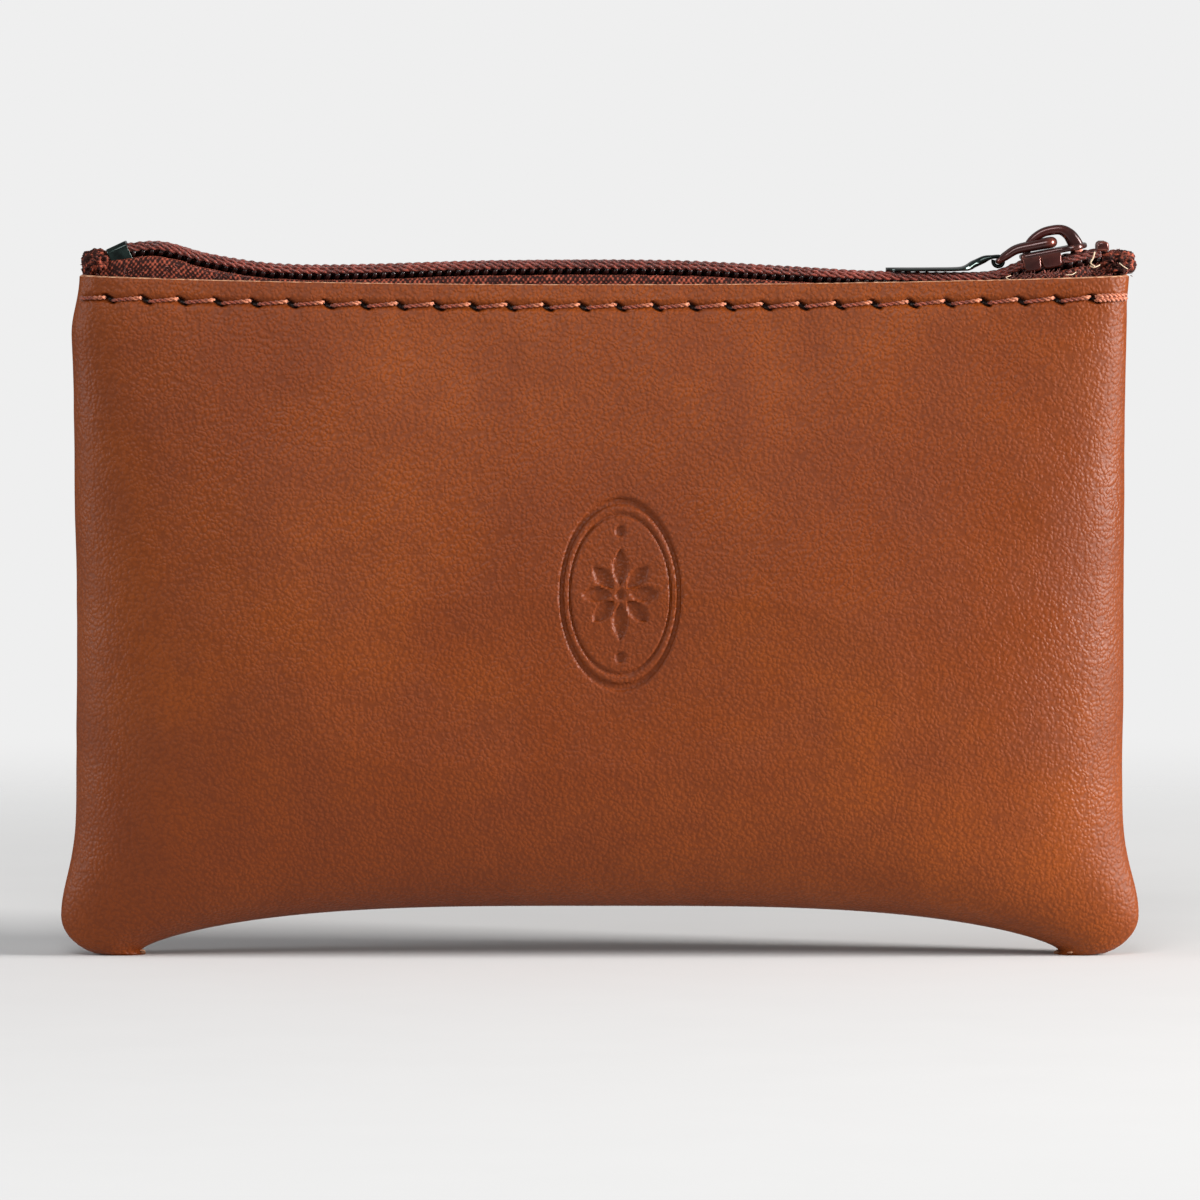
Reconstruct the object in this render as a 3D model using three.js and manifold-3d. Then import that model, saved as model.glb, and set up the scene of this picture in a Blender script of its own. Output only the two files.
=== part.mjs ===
// Small zippered leather pouch. Millimetres, +Z up, +X along the zip, front facing -Y.
// It stands on the two corners of its bottom fold; the origin is under its middle.
import * as THREE from 'three';
import { mergeVertices } from 'three/addons/utils/BufferGeometryUtils.js';
import Module from 'manifold-3d';

const wasm = await Module();
wasm.setup();

// ---- Driving dimensions ----
const HALF_WIDTH = 60.1; // half the width of the body at mid height
const HEIGHT = 77.1; // top edge of the leather, at its middle
const TOP_RISE = 1.0; // how much the top corners stand above the middle of the top edge
const ARCH = 7.6; // height of the bottom arch before its ends are flattened
const FOOT_SINK = 2.0; // how much the bottom corners are flattened where they stand
const ARCH_REACH = 59;
const CORNER_RADIUS = 4.6;
const CORNER_BULGE = 1.9; // how far the bottom corners stand out beyond the waist
const BULGE = 8.2; // how far each panel is puffed out beyond its edges
const MOUTH_HALF = 5.3; // half the depth of the body at its top edge
const SEAM_EDGE = 1.1; // half the thickness of the turned side seam
const SEAM_VALLEY = 0.9; // depth of the groove between the panels along the side seam
const VALLEY_START = 9; // the groove fades out below this height
const LEATHER = 1.1;
const LINING = 0.4;
const LINING_DROP = 1.6; // lining edge below the leather edge
const CLEARANCE = 0.3; // between neighbouring pieces
const BELLY_LIMIT = 11.2; // panels are flattened where they lie on a table

const CHAIN_HALF = 1.9; // half the width of the closed chain
const TOOTH_REACH = 0.3; // how far each coil's loops pass the middle of the chain
const COIL_INSET = 0.6; // middle of the chain to the solid strip of a coil
const COIL_HEIGHT = 1.0;
const SEWING = 0.25; // thickness of the sewing over each coil
const LAYER_GAP = 0.25;
const TAPE = 0.4; // thickness of the zip tape
const TAPE_HANG = 10; // tape below the leather edge
const PAIR_PITCH = 2.126; // two turns of the coil
const PAIR_LENGTH = 0.72;
const CHAIN_LEFT = -53.9;
const CHAIN_RIGHT = 58.6;
const TAPE_LEFT = -59.8;
const TAPE_RIGHT = 61.4;
const HANG_END = 56.2;
const PARTING = 1.0; // how far each coil is pushed aside in the slider's mouth

const SLIDER_X = 52.7;
const SLIDER_Z = 77.4; // underside of the slider
const SLIDER_TILT = THREE.MathUtils.degToRad(11);
const SLIDER_LENGTH = 7.8;
const REAR_HALF = 3.0;
const FRONT_HALF = 3.8;
const PLATE = 0.6;
const CHANNEL = 2.65;
const LOWER_HALF = 1.9;
const BODY_TOP = 2 * PLATE + CHANNEL;
const FLANGE_DROP = 0.85;
const FLANGE = 0.55;
const POST_RADIUS = 0.35;
const POST_X = 3.0;
const BRIDGE_WIDTH = 1.6;

const LINK_PIVOT = [-0.2, BODY_TOP + 0.75]; // bar of the link under the slider's bridge
const LINK_END = [-6.45, 3.6]; // bar of the link inside the pull tab
const LINK_THICK = 0.6;
const LINK_HALF = 2.1;
const LINK_BAR = 0.8;
const LINK_ARM = 0.8; // width of each side of the link
const TAB_PIVOT = [45.68, 79.7];
const KNUCKLE = 0.9;
const KNUCKLE_HOLE = 0.68;
const TAB_THICK = 0.45;
const TAB_LENGTH = 12.9;
const TAB_HALF = 2.5;

const STITCH_DROP = 2.4; // top stitching below the leather edge
const THREAD_RADIUS = 0.22;

const COLOURS = {
  leather: { color: 0xa5572c, roughness: 0.5, metalness: 0 },
  lining: { color: 0x4a2a1c, roughness: 0.9, metalness: 0 },
  tape: { color: 0x4b2118, roughness: 0.9, metalness: 0 },
  nylon: { color: 0x2c1512, roughness: 0.35, metalness: 0 },
  thread: { color: 0xa04a22, roughness: 0.7, metalness: 0 },
  enamel: { color: 0x4a1a16, roughness: 0.25, metalness: 0.6 },
  gunmetal: { color: 0x16201f, roughness: 0.25, metalness: 0.9 },
};

// ---- General helpers ----
const lerp = THREE.MathUtils.lerp;
const vec = (x, y, z) => new THREE.Vector3(x, y, z);

// Height of a smooth curve through [x, z] points, at x.
function heightAlong(points, x) {
  const last = points.length - 2;
  let k = 0;
  while (k < last && x > points[k + 1][0]) k += 1;
  const [x0, z0] = points[k];
  const [x1, z1] = points[k + 1];
  const t = THREE.MathUtils.clamp((x - x0) / (x1 - x0), 0, 1);
  const slope = (i) => {
    const a = points[Math.max(i - 1, 0)];
    const b = points[Math.min(i + 1, points.length - 1)];
    return ((b[1] - a[1]) / (b[0] - a[0])) * (x1 - x0);
  };
  const t2 = t * t;
  const t3 = t2 * t;
  return (2 * t3 - 3 * t2 + 1) * z0 + (t3 - 2 * t2 + t) * slope(k)
    + (3 * t2 - 2 * t3) * z1 + (t3 - t2) * slope(k + 1);
}

// One closed solid from points and faces that may share places.
function weld(points, faces) {
  const geometry = new THREE.BufferGeometry();
  geometry.setAttribute('position', new THREE.Float32BufferAttribute(points.flatMap((p) => p.toArray()), 3));
  geometry.setIndex(faces.flat());
  const merged = mergeVertices(geometry, 1e-4);
  const index = merged.index.array;
  const kept = [];
  for (let i = 0; i < index.length; i += 3) {
    const [a, b, c] = [index[i], index[i + 1], index[i + 2]];
    if (a !== b && b !== c && c !== a) kept.push(a, b, c);
  }
  merged.setIndex(kept);
  if (volume(merged) < 0) kept.reverse();
  merged.setIndex(kept);
  return merged;
}

function volume(geometry) {
  const position = geometry.attributes.position;
  const corner = (i) => vec().fromBufferAttribute(position, geometry.index.array[i]);
  let total = 0;
  for (let i = 0; i < geometry.index.count; i += 3) {
    total += corner(i).dot(corner(i + 1).cross(corner(i + 2))) / 6;
  }
  return total;
}

const quad = (a, b, c, d) => [[a, b, c], [a, c, d]];

// A strip of cloth, coil or thread: each row holds its two skins, from edge to edge.
function ribbon(rows) {
  const points = rows.flatMap((row) => [...row.above, ...row.below]);
  const count = rows[0].above.length;
  const at = (row, skin, k) => row * 2 * count + skin * count + k;
  const faces = [];
  for (let r = 0; r < rows.length - 1; r += 1) {
    for (let k = 0; k < count - 1; k += 1) {
      faces.push(...quad(at(r, 0, k), at(r, 0, k + 1), at(r + 1, 0, k + 1), at(r + 1, 0, k)));
      faces.push(...quad(at(r, 1, k), at(r + 1, 1, k), at(r + 1, 1, k + 1), at(r, 1, k + 1)));
    }
    faces.push(...quad(at(r, 0, 0), at(r + 1, 0, 0), at(r + 1, 1, 0), at(r, 1, 0)));
    const k = count - 1;
    faces.push(...quad(at(r, 0, k), at(r, 1, k), at(r + 1, 1, k), at(r + 1, 0, k)));
  }
  const end = rows.length - 1;
  for (let k = 0; k < count - 1; k += 1) {
    faces.push(...quad(at(0, 0, k), at(0, 1, k), at(0, 1, k + 1), at(0, 0, k + 1)));
    faces.push(...quad(at(end, 0, k), at(end, 0, k + 1), at(end, 1, k + 1), at(end, 1, k)));
  }
  return weld(points, faces);
}

function toSolid(geometry) {
  const bare = geometry.clone();
  bare.deleteAttribute('normal');
  bare.deleteAttribute('uv');
  const merged = mergeVertices(bare, 1e-4);
  return new wasm.Manifold(new wasm.Mesh({
    numProp: 3,
    vertProperties: new Float32Array(merged.attributes.position.array),
    triVerts: new Uint32Array(merged.index.array),
  }));
}

function toGeometry(solid) {
  const mesh = solid.getMesh();
  const geometry = new THREE.BufferGeometry();
  geometry.setAttribute('position', new THREE.BufferAttribute(mesh.vertProperties, 3));
  geometry.setIndex(new THREE.BufferAttribute(mesh.triVerts, 1));
  return geometry;
}

const join = (pieces) => toGeometry(pieces.map(toSolid).reduce((a, b) => a.add(b)));
const overlap = (a, b) => toGeometry(toSolid(a).intersect(toSolid(b)));
const cut = (a, b) => toGeometry(toSolid(a).subtract(toSolid(b)));

function outline(points) {
  return new THREE.Shape(points.map(([x, y]) => new THREE.Vector2(x, y)));
}

// An outline drawn in X and Z, run across Y about the middle.
function across(shape, width, segments = 6) {
  const options = { depth: width, bevelEnabled: false, curveSegments: segments };
  const geometry = new THREE.ExtrudeGeometry(shape, options);
  geometry.translate(0, 0, -width / 2);
  geometry.rotateX(Math.PI / 2);
  return geometry;
}

// An outline drawn in X and Y, run up from z.
function upright(shape, z, height, segments = 6) {
  const options = { depth: height, bevelEnabled: false, curveSegments: segments };
  const geometry = new THREE.ExtrudeGeometry(shape, options);
  geometry.translate(0, 0, z);
  return geometry;
}

// A strip of even thickness along a line of [x, z] points.
function strip(line, thick) {
  const curve = new THREE.SplineCurve(line.map(([x, z]) => new THREE.Vector2(x, z)));
  const steps = 4 * (line.length - 1);
  const sides = [[], []];
  for (let i = 0; i <= steps; i += 1) {
    const p = curve.getPoint(i / steps);
    const t = curve.getTangent(i / steps);
    const normal = [-t.y * thick / 2, t.x * thick / 2];
    sides[0].push([p.x + normal[0], p.y + normal[1]]);
    sides[1].unshift([p.x - normal[0], p.y - normal[1]]);
  }
  return outline([...sides[0], ...sides[1]]);
}

function thread(points, steps) {
  const section = new THREE.Shape();
  section.absarc(0, 0, THREAD_RADIUS, 0, 2 * Math.PI);
  const path = new THREE.CatmullRomCurve3(points);
  const options = { steps, extrudePath: path, curveSegments: 3 };
  return new THREE.ExtrudeGeometry(section, options);
}

function node(name, geometry, look) {
  const mesh = new THREE.Mesh(geometry, new THREE.MeshStandardMaterial(COLOURS[look]));
  mesh.name = name;
  return mesh;
}

// ---- Shape of the body ----
const OUTSIDE = { wide: 0, deep: 0, low: 0, drop: 0 };
const INSIDE = { wide: 2.6, deep: LEATHER, low: LEATHER, drop: 0 };
const liningDeep = LEATHER + TAPE + 2 * CLEARANCE;
const LINING_OUT = { wide: 3.1, deep: liningDeep, low: 1.5, drop: LINING_DROP };
const LINING_IN = { wide: 3.6, deep: liningDeep + LINING, low: 1.9, drop: LINING_DROP };

const topEdge = (x) => HEIGHT + TOP_RISE * (x / 60) ** 2;
const bottomEdge = (x) => ARCH * (1 - Math.abs(x / ARCH_REACH) ** 3.4) - FOOT_SINK;

function halfWidth(z) {
  const bulge = CORNER_BULGE * Math.exp(-(((z - CORNER_RADIUS) / 6.5) ** 2));
  const flare = 0.5 * (z / HEIGHT) ** 6;
  const short = Math.max(1 - z / CORNER_RADIUS, 0);
  const rounding = CORNER_RADIUS * (1 - Math.sqrt(1 - Math.min(short, 1) ** 2));
  return HALF_WIDTH + bulge + flare - rounding;
}

// Half the depth of the body at a share u of its width and v of its height.
function halfDepth(u, v, inset) {
  const out = Math.min(Math.abs(u), 1);
  const square = Math.sqrt(1 - out ** (8 + 16 * v));
  const round = (1 - out ** 4) ** 0.6;
  const spread = Math.sqrt(v);
  const puff = (BULGE / 0.433) * v ** 0.4 * (1 - v);
  const roll = Math.sqrt(1 - Math.max(1 - v / 0.03, 0) ** 2);
  const seam = inset.wide > 0 ? 0 : SEAM_EDGE * roll;
  const mouth = (MOUTH_HALF - SEAM_EDGE) * square * spread;
  const solid = inset.wide > 0 ? SEAM_EDGE * square * spread : 0;
  const skin = inset.deep * (square * spread + round * (1 - spread));
  return Math.max(seam + mouth + solid + puff * round - skin, 0);
}

const OUTER_U = Math.sin(THREE.MathUtils.degToRad(82.5)); // last column before the seam groove

function bodyPoint(u, v, side, inset) {
  const x0 = u * ARCH_REACH;
  const low = bottomEdge(x0) + inset.low;
  const z = Math.max(lerp(low, topEdge(x0) - inset.drop, v), inset.low);
  const full = halfWidth(z - inset.low) - inset.wide;
  const atSeam = Math.abs(u) > 0.999;
  const outside = inset.wide === 0;
  const valley = SEAM_VALLEY * THREE.MathUtils.smoothstep(z, 0, VALLEY_START);
  let x = u * full;
  if (outside) x = atSeam ? Math.sign(u) * (full - valley) : (u / OUTER_U) * full;
  const y = atSeam || v === 0 ? 0 : Math.min(halfDepth(u, v, inset), BELLY_LIMIT - inset.deep);
  return vec(x, side * y, z);
}

// Half depth of a skin of the body at a place on it.
function depthAt(x, z, inset) {
  const v = (z - bottomEdge(x) - inset.low) / (topEdge(x) - inset.drop - bottomEdge(x) - inset.low);
  const full = halfWidth(z - inset.low) - inset.wide;
  const u = inset.wide === 0 ? (x / full) * OUTER_U : x / full;
  return Math.min(halfDepth(u, v, inset), BELLY_LIMIT - inset.deep);
}

// A bag folded at the bottom, closed at both sides and open at the top.
function bag(outer, inner, columns, rows) {
  const points = [];
  const faces = [];
  const index = (skin, side, i, j) => ((skin * 2 + side) * (columns + 1) + i) * (rows + 1) + j;
  for (const inset of [outer, inner]) {
    for (const side of [-1, 1]) {
      for (let i = 0; i <= columns; i += 1) {
        const u = Math.sin((Math.PI / 2) * (2 * i / columns - 1));
        for (let j = 0; j <= rows; j += 1) {
          points.push(bodyPoint(u, (j / rows) ** 1.7, side, inset));
        }
      }
    }
  }
  for (let i = 0; i < columns; i += 1) {
    for (let skin = 0; skin < 2; skin += 1) {
      for (let side = 0; side < 2; side += 1) {
        for (let j = 0; j < rows; j += 1) {
          const ring = [[i, j], [i + 1, j], [i + 1, j + 1], [i, j + 1]];
          const corners = ring.map(([a, b]) => index(skin, side, a, b));
          if (skin !== side) corners.reverse();
          faces.push(...quad(...corners));
        }
      }
    }
    for (let side = 0; side < 2; side += 1) {
      const rim = [[0, i], [0, i + 1], [1, i + 1], [1, i]];
      const corners = rim.map(([skin, a]) => index(skin, side, a, rows));
      if (side === 1) corners.reverse();
      faces.push(...quad(...corners));
    }
  }
  return weld(points, faces);
}

// ---- Zip ----
// Top of the sewing along the chain: it rises to a hump at its closed left end, and dips
// before it climbs into the slider.
const CHAIN_TOP = [
  [-61, 80.9], [-56, 81.5], [-50.6, 82.0], [-45, 80.6], [-38, 79.5], [-30, 79.3], [-12, 79.8],
  [8, 79.8], [22, 79.1], [31, 78.5], [42, 78.3], [45.5, 78.4], [48.4, 79.5], [52.3, 80.27],
  [56.2, 81.03], [62, 81.2],
];
const chainTop = (x) => heightAlong(CHAIN_TOP, x);
const parting = (x) => PARTING * THREE.MathUtils.smoothstep(x, 51.2, 54.6);
const coilTop = (x) => chainTop(x) - SEWING - LAYER_GAP;
const tapeTop = (x) => coilTop(x) - COIL_HEIGHT - LAYER_GAP;

function xRange(from, to, steps) {
  return Array.from({ length: steps + 1 }, (_, i) => lerp(from, to, i / steps));
}

function coil(side) {
  const rows = xRange(CHAIN_LEFT, CHAIN_RIGHT, 64).map((x) => {
    const shift = parting(x);
    const edges = [side * (COIL_INSET + shift), side * (CHAIN_HALF + shift)];
    const skin = (z) => edges.map((y) => vec(x, y, z));
    return { above: skin(coilTop(x)), below: skin(coilTop(x) - COIL_HEIGHT) };
  });
  const teeth = [];
  const start = CHAIN_LEFT + 0.4 + (side > 0 ? PAIR_PITCH / 2 : 0);
  for (let x = start; x + PAIR_LENGTH < CHAIN_RIGHT; x += PAIR_PITCH) {
    const middle = x + PAIR_LENGTH / 2;
    const reach = COIL_INSET + TOOTH_REACH + 0.2;
    const tooth = new THREE.BoxGeometry(PAIR_LENGTH, reach, COIL_HEIGHT * 0.6);
    const y = side * (parting(middle) - TOOTH_REACH + reach / 2);
    tooth.translate(middle, y, coilTop(middle) - COIL_HEIGHT / 2);
    teeth.push(tooth);
  }
  return join([ribbon(rows), ...teeth]);
}

function coilSewing(side) {
  const rows = xRange(CHAIN_LEFT, CHAIN_RIGHT - 2.6, 60).map((x) => {
    const edges = [side * (0.8 + parting(x)), side * (1.6 + parting(x))];
    const skin = (z) => edges.map((y) => vec(x, y, z));
    return { above: skin(chainTop(x)), below: skin(chainTop(x) - SEWING) };
  });
  return ribbon(rows);
}

// Outer face of the hanging tape: just inside the leather, and clear of the slider's lower plate.
const tapeDepth = (x, z) => depthAt(x, Math.min(z, topEdge(x)), INSIDE) - CLEARANCE;

function tape(side) {
  const flat = xRange(TAPE_LEFT, TAPE_RIGHT, 48).map((x) => {
    const near = Math.min(Math.abs(x), HANG_END);
    const wide = tapeDepth(near, topEdge(near));
    const edges = [side * (0.35 + 0.6 * parting(x)), side * (wide - TAPE / 2)];
    const skin = (z) => edges.map((y) => vec(x, y, z));
    return { above: skin(tapeTop(x)), below: skin(tapeTop(x) - TAPE) };
  });
  const hanging = xRange(-HANG_END, HANG_END, 40).map((x) => {
    const fold = tapeTop(x) - TAPE * 0.3;
    const bend = Math.min(topEdge(x), fold - 0.4);
    const levels = [fold, bend, topEdge(x) - TAPE_HANG / 2, topEdge(x) - TAPE_HANG];
    const skin = (offset) => levels.map((z) => vec(x, side * (tapeDepth(x, z) - offset), z));
    return { above: skin(0), below: skin(TAPE) };
  });
  return join([ribbon(flat), ribbon(hanging)]);
}

// A staple over the closed end of the chain.
function bottomStop() {
  const half = CHAIN_HALF + CLEARANCE;
  const wall = 0.45;
  const top = SEWING + LAYER_GAP + CLEARANCE;
  const low = -COIL_HEIGHT - LAYER_GAP;
  const shape = outline([
    [-half - wall, low], [-half - wall, top - 0.1], [-half, top + wall], [half, top + wall],
    [half + wall, top - 0.1], [half + wall, low], [half, low], [half, top], [-half, top], [-half, low],
  ]);
  const geometry = upright(shape, -1.2, 2.4);
  geometry.rotateX(Math.PI / 2);
  geometry.rotateZ(Math.PI / 2);
  geometry.rotateY(THREE.MathUtils.degToRad(-8));
  geometry.translate(-55.1, 0, coilTop(-55.1) + 0.05);
  return geometry;
}

// A small clamp over the end of one coil.
function topStop(side) {
  const shape = outline([
    [-0.95, 0], [-0.95, 0.45], [-0.6, 0.9], [0.6, 0.9], [0.95, 0.45], [0.95, 0],
  ]);
  const geometry = across(shape, 1.7);
  geometry.translate(57.5, side * 2.1, coilTop(57.5) + CLEARANCE);
  return geometry;
}

// ---- Slider, in its own frame: X along the chain, Z up from its underside ----
function plateOutline(rear, front) {
  const half = SLIDER_LENGTH / 2;
  const shape = new THREE.Shape();
  shape.moveTo(-half, -rear + 0.5);
  shape.quadraticCurveTo(-half, -rear, -half + 0.5, -rear);
  shape.lineTo(0.4, -rear);
  shape.quadraticCurveTo(1.6, -rear, 2.2, -front);
  shape.quadraticCurveTo(half, -front, half, 0);
  shape.quadraticCurveTo(half, front, 2.2, front);
  shape.quadraticCurveTo(1.6, rear, 0.4, rear);
  shape.lineTo(-half + 0.5, rear);
  shape.quadraticCurveTo(-half, rear, -half, rear - 0.5);
  return shape;
}

function bridge() {
  const shape = new THREE.Shape();
  shape.moveTo(-3.6, -0.2);
  shape.splineThru([[-3.3, 1.0], [-1.6, 2.42], [-0.2, 2.65], [1.0, 2.62], [2.8, 1.9], [3.7, -0.2]]
    .map(([x, z]) => new THREE.Vector2(x, z)));
  shape.lineTo(1.95, -0.2);
  shape.splineThru([[1.75, 0.9], [0.9, 1.42], [-0.9, 1.42], [-2.1, 0.95], [-2.6, -0.2]]
    .map(([x, z]) => new THREE.Vector2(x, z)));
  const geometry = across(shape, BRIDGE_WIDTH, 4);
  geometry.translate(0, 0, BODY_TOP);
  return geometry;
}

function sliderBody() {
  const upper = upright(plateOutline(REAR_HALF, FRONT_HALF), PLATE + CHANNEL, PLATE, 3);
  const lower = upright(plateOutline(LOWER_HALF, LOWER_HALF + 0.01), 0, PLATE, 2);
  const flanges = [-1, 1].map((side) => {
    const flange = new THREE.BoxGeometry(4.4, FLANGE, FLANGE_DROP + PLATE / 2);
    const z = PLATE + CHANNEL + PLATE / 2 - (FLANGE_DROP + PLATE / 2) / 2;
    flange.translate(-1.55, side * (REAR_HALF - FLANGE / 2 - 0.02), z);
    return flange;
  });
  const post = new THREE.CylinderGeometry(POST_RADIUS, POST_RADIUS, CHANNEL + PLATE, 10);
  post.rotateX(Math.PI / 2);
  post.translate(POST_X, 0, (CHANNEL + 2 * PLATE) / 2);
  return join([upper, lower, ...flanges, post, bridge()]);
}

// A bent closed loop: one bar runs under the bridge, the other through the pull tab.
function pullLink() {
  const [px, pz] = LINK_PIVOT;
  const [ex, ez] = LINK_END;
  const right = px + LINK_BAR / 2;
  const plan = new THREE.Shape();
  plan.moveTo(right, -LINK_HALF + 0.8);
  plan.lineTo(right, LINK_HALF - 0.8);
  plan.quadraticCurveTo(right, LINK_HALF, right - 0.9, LINK_HALF);
  plan.lineTo(ex - 1, LINK_HALF);
  plan.lineTo(ex - 1, LINK_HALF - LINK_ARM);
  plan.lineTo(right - LINK_BAR, LINK_HALF - LINK_ARM);
  plan.lineTo(right - LINK_BAR, -LINK_HALF + LINK_ARM);
  plan.lineTo(ex - 1, -LINK_HALF + LINK_ARM);
  plan.lineTo(ex - 1, -LINK_HALF);
  plan.lineTo(right - 0.9, -LINK_HALF);
  plan.quadraticCurveTo(right, -LINK_HALF, right, -LINK_HALF + 0.8);
  const line = [[right, pz], [-2.2, pz], [-4.1, pz], [-5.3, 4.15], [ex, ez], [ex - 0.3, ez - 0.12]];
  const bent = overlap(across(strip(line, LINK_THICK), 6), upright(plan, 0, 2 * BODY_TOP));
  const bar = new THREE.CylinderGeometry(LINK_THICK / 2 + 0.05, LINK_THICK / 2 + 0.05, 2 * LINK_HALF, 12);
  bar.translate(ex, 0, ez);
  return join([bent, bar]);
}

// ---- Pull tab, in its own frame: origin on the link's bar ----
function pullTab() {
  const low = -0.75;
  const line = [[-0.1, KNUCKLE - TAB_THICK / 2], [-1.3, 0.55], [-2.9, -0.2], [-4.3, low], [-8, low], [-TAB_LENGTH, low]];
  const blade = strip(line, TAB_THICK);
  const plan = new THREE.Shape();
  plan.moveTo(0.1, -0.95);
  plan.lineTo(-1.9, -0.95);
  plan.quadraticCurveTo(-2.4, -TAB_HALF, -4.2, -TAB_HALF);
  plan.lineTo(-TAB_LENGTH + 2.2, -TAB_HALF);
  plan.quadraticCurveTo(-TAB_LENGTH, -TAB_HALF, -TAB_LENGTH, 0);
  plan.quadraticCurveTo(-TAB_LENGTH, TAB_HALF, -TAB_LENGTH + 2.2, TAB_HALF);
  plan.lineTo(-4.2, TAB_HALF);
  plan.quadraticCurveTo(-2.4, TAB_HALF, -1.9, 0.95);
  plan.lineTo(0.1, 0.95);
  const knuckle = new THREE.CylinderGeometry(KNUCKLE, KNUCKLE, 1.9, 16);
  const bore = new THREE.CylinderGeometry(KNUCKLE_HOLE, KNUCKLE_HOLE, 3, 16);
  return cut(join([overlap(across(blade, 6), upright(plan, -3, 6)), knuckle]), bore);
}

// ---- Threads ----
function zipThread(side) {
  const points = xRange(-58, 58, 40).map((x) => {
    const z = topEdge(x) - STITCH_DROP;
    return vec(x, side * (depthAt(x, z, OUTSIDE) + CLEARANCE + THREAD_RADIUS), z);
  });
  return thread(points, 56);
}

function seamThread(side) {
  const points = xRange(9, 73, 16).map((z) => vec(side * (halfWidth(z) - 0.3), 0, z));
  return thread(points, 22);
}

// ---- Assembly ----
const pouch = new THREE.Group();
pouch.add(node('outer_shell', bag(OUTSIDE, INSIDE, 24, 13), 'leather'));
pouch.add(node('lining', bag(LINING_OUT, LINING_IN, 18, 10), 'lining'));
for (const [name, side] of [['front', -1], ['back', 1]]) {
  pouch.add(node(`${name}_zip_tape`, tape(side), 'tape'));
  pouch.add(node(`${name}_coil`, coil(side), 'nylon'));
  pouch.add(node(`${name}_coil_sewing`, coilSewing(side), 'tape'));
  pouch.add(node(`${name}_top_stop`, topStop(side), 'enamel'));
  pouch.add(node(`${name}_zip_thread`, zipThread(side), 'thread'));
}
pouch.add(node('bottom_stop', bottomStop(), 'gunmetal'));
pouch.add(node('left_seam_thread', seamThread(-1), 'thread'));
pouch.add(node('right_seam_thread', seamThread(1), 'thread'));

const slider = new THREE.Group();
slider.position.set(SLIDER_X, 0, SLIDER_Z);
slider.rotation.y = -SLIDER_TILT;
slider.add(node('slider_body', sliderBody(), 'enamel'));
slider.add(node('pull_link', pullLink(), 'enamel'));
pouch.add(slider);

const tab = node('pull_tab', pullTab(), 'gunmetal');
tab.position.set(TAB_PIVOT[0], 0, TAB_PIVOT[1]);
pouch.add(tab);

export default pouch;
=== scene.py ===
"""Looks of a small zippered leather pouch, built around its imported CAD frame.

Shapes are worked out in millimetres (+X along the zip, front facing -Y, +Z up) and turned into metres
when a mesh is made. The body and the chain follow the CAD part closely, not exactly: the chain lies a
little higher just behind the slider, and the lining's bottom is 0.9 mm higher.
"""
import math

import bpy
import numpy as np
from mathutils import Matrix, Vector


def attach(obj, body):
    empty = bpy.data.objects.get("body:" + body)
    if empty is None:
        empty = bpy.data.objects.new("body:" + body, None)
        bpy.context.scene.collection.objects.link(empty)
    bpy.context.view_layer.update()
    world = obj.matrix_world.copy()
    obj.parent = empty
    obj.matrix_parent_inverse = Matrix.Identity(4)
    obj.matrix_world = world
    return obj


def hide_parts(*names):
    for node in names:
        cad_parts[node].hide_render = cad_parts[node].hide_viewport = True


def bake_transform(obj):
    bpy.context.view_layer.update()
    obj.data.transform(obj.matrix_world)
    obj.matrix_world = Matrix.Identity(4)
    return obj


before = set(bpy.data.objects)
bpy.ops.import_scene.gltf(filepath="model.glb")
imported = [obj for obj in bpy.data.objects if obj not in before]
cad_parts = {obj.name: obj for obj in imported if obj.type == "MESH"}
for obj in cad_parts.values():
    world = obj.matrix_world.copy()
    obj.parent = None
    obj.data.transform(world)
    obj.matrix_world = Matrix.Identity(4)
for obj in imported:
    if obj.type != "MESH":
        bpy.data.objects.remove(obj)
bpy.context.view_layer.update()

MM = 0.001

# ---- Driving dimensions, in millimetres ----
HALF_WIDTH = 60.1
HEIGHT = 77.1
TOP_RISE = 1.0
ARCH = 7.6
FOOT_SINK = 2.0
ARCH_REACH = 59.0
CORNER_RADIUS = 4.6
CORNER_BULGE = 1.9
BULGE = 8.2
MOUTH_HALF = 5.3
SEAM_EDGE = 1.1
SEAM_VALLEY = 0.9
VALLEY_START = 9.0
BELLY_LIMIT = 11.2
LEATHER = 1.1
LINING = 0.4
LINING_DROP = 1.6
CLEARANCE = 0.3
SEAM_U = math.sin(math.radians(82.5))  # share of the width at which a panel starts to roll into its seam

PITCH = 1.063  # one turn of a zip coil
CHAIN_HALF = 1.9
TOOTH_REACH = 0.3
COIL_HEIGHT = 1.0
TAPE = 0.4
TAPE_HANG = 10.0
THREAD_ROW, THREAD_GAP = 0.3, 0.54  # the tape's raised threads: between rows, and along a row
CHAIN_LEFT, CHAIN_RIGHT = -54.9, 58.6
TAPE_LEFT, TAPE_RIGHT = -59.2, 60.5
HANG_END = 56.2  # the tape's hanging part follows the body only as far as this

SLIDER_X, SLIDER_Z = 52.7, 77.4
SLIDER_TILT = math.radians(11)
SLIDER_HALF = 3.9
REAR_HALF, FRONT_HALF = 3.0, 3.8
PLATE = 0.6
CHANNEL = 2.65
BODY_TOP = 2 * PLATE + CHANNEL
TAB_X, TAB_Z = 45.68, 79.7

STITCH_DROP = 2.4
STITCH_PITCH = 4.17
FIRST_HOLE, LAST_HOLE = -56.1, 56.5
SEAM_PITCH = 3.7

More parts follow.
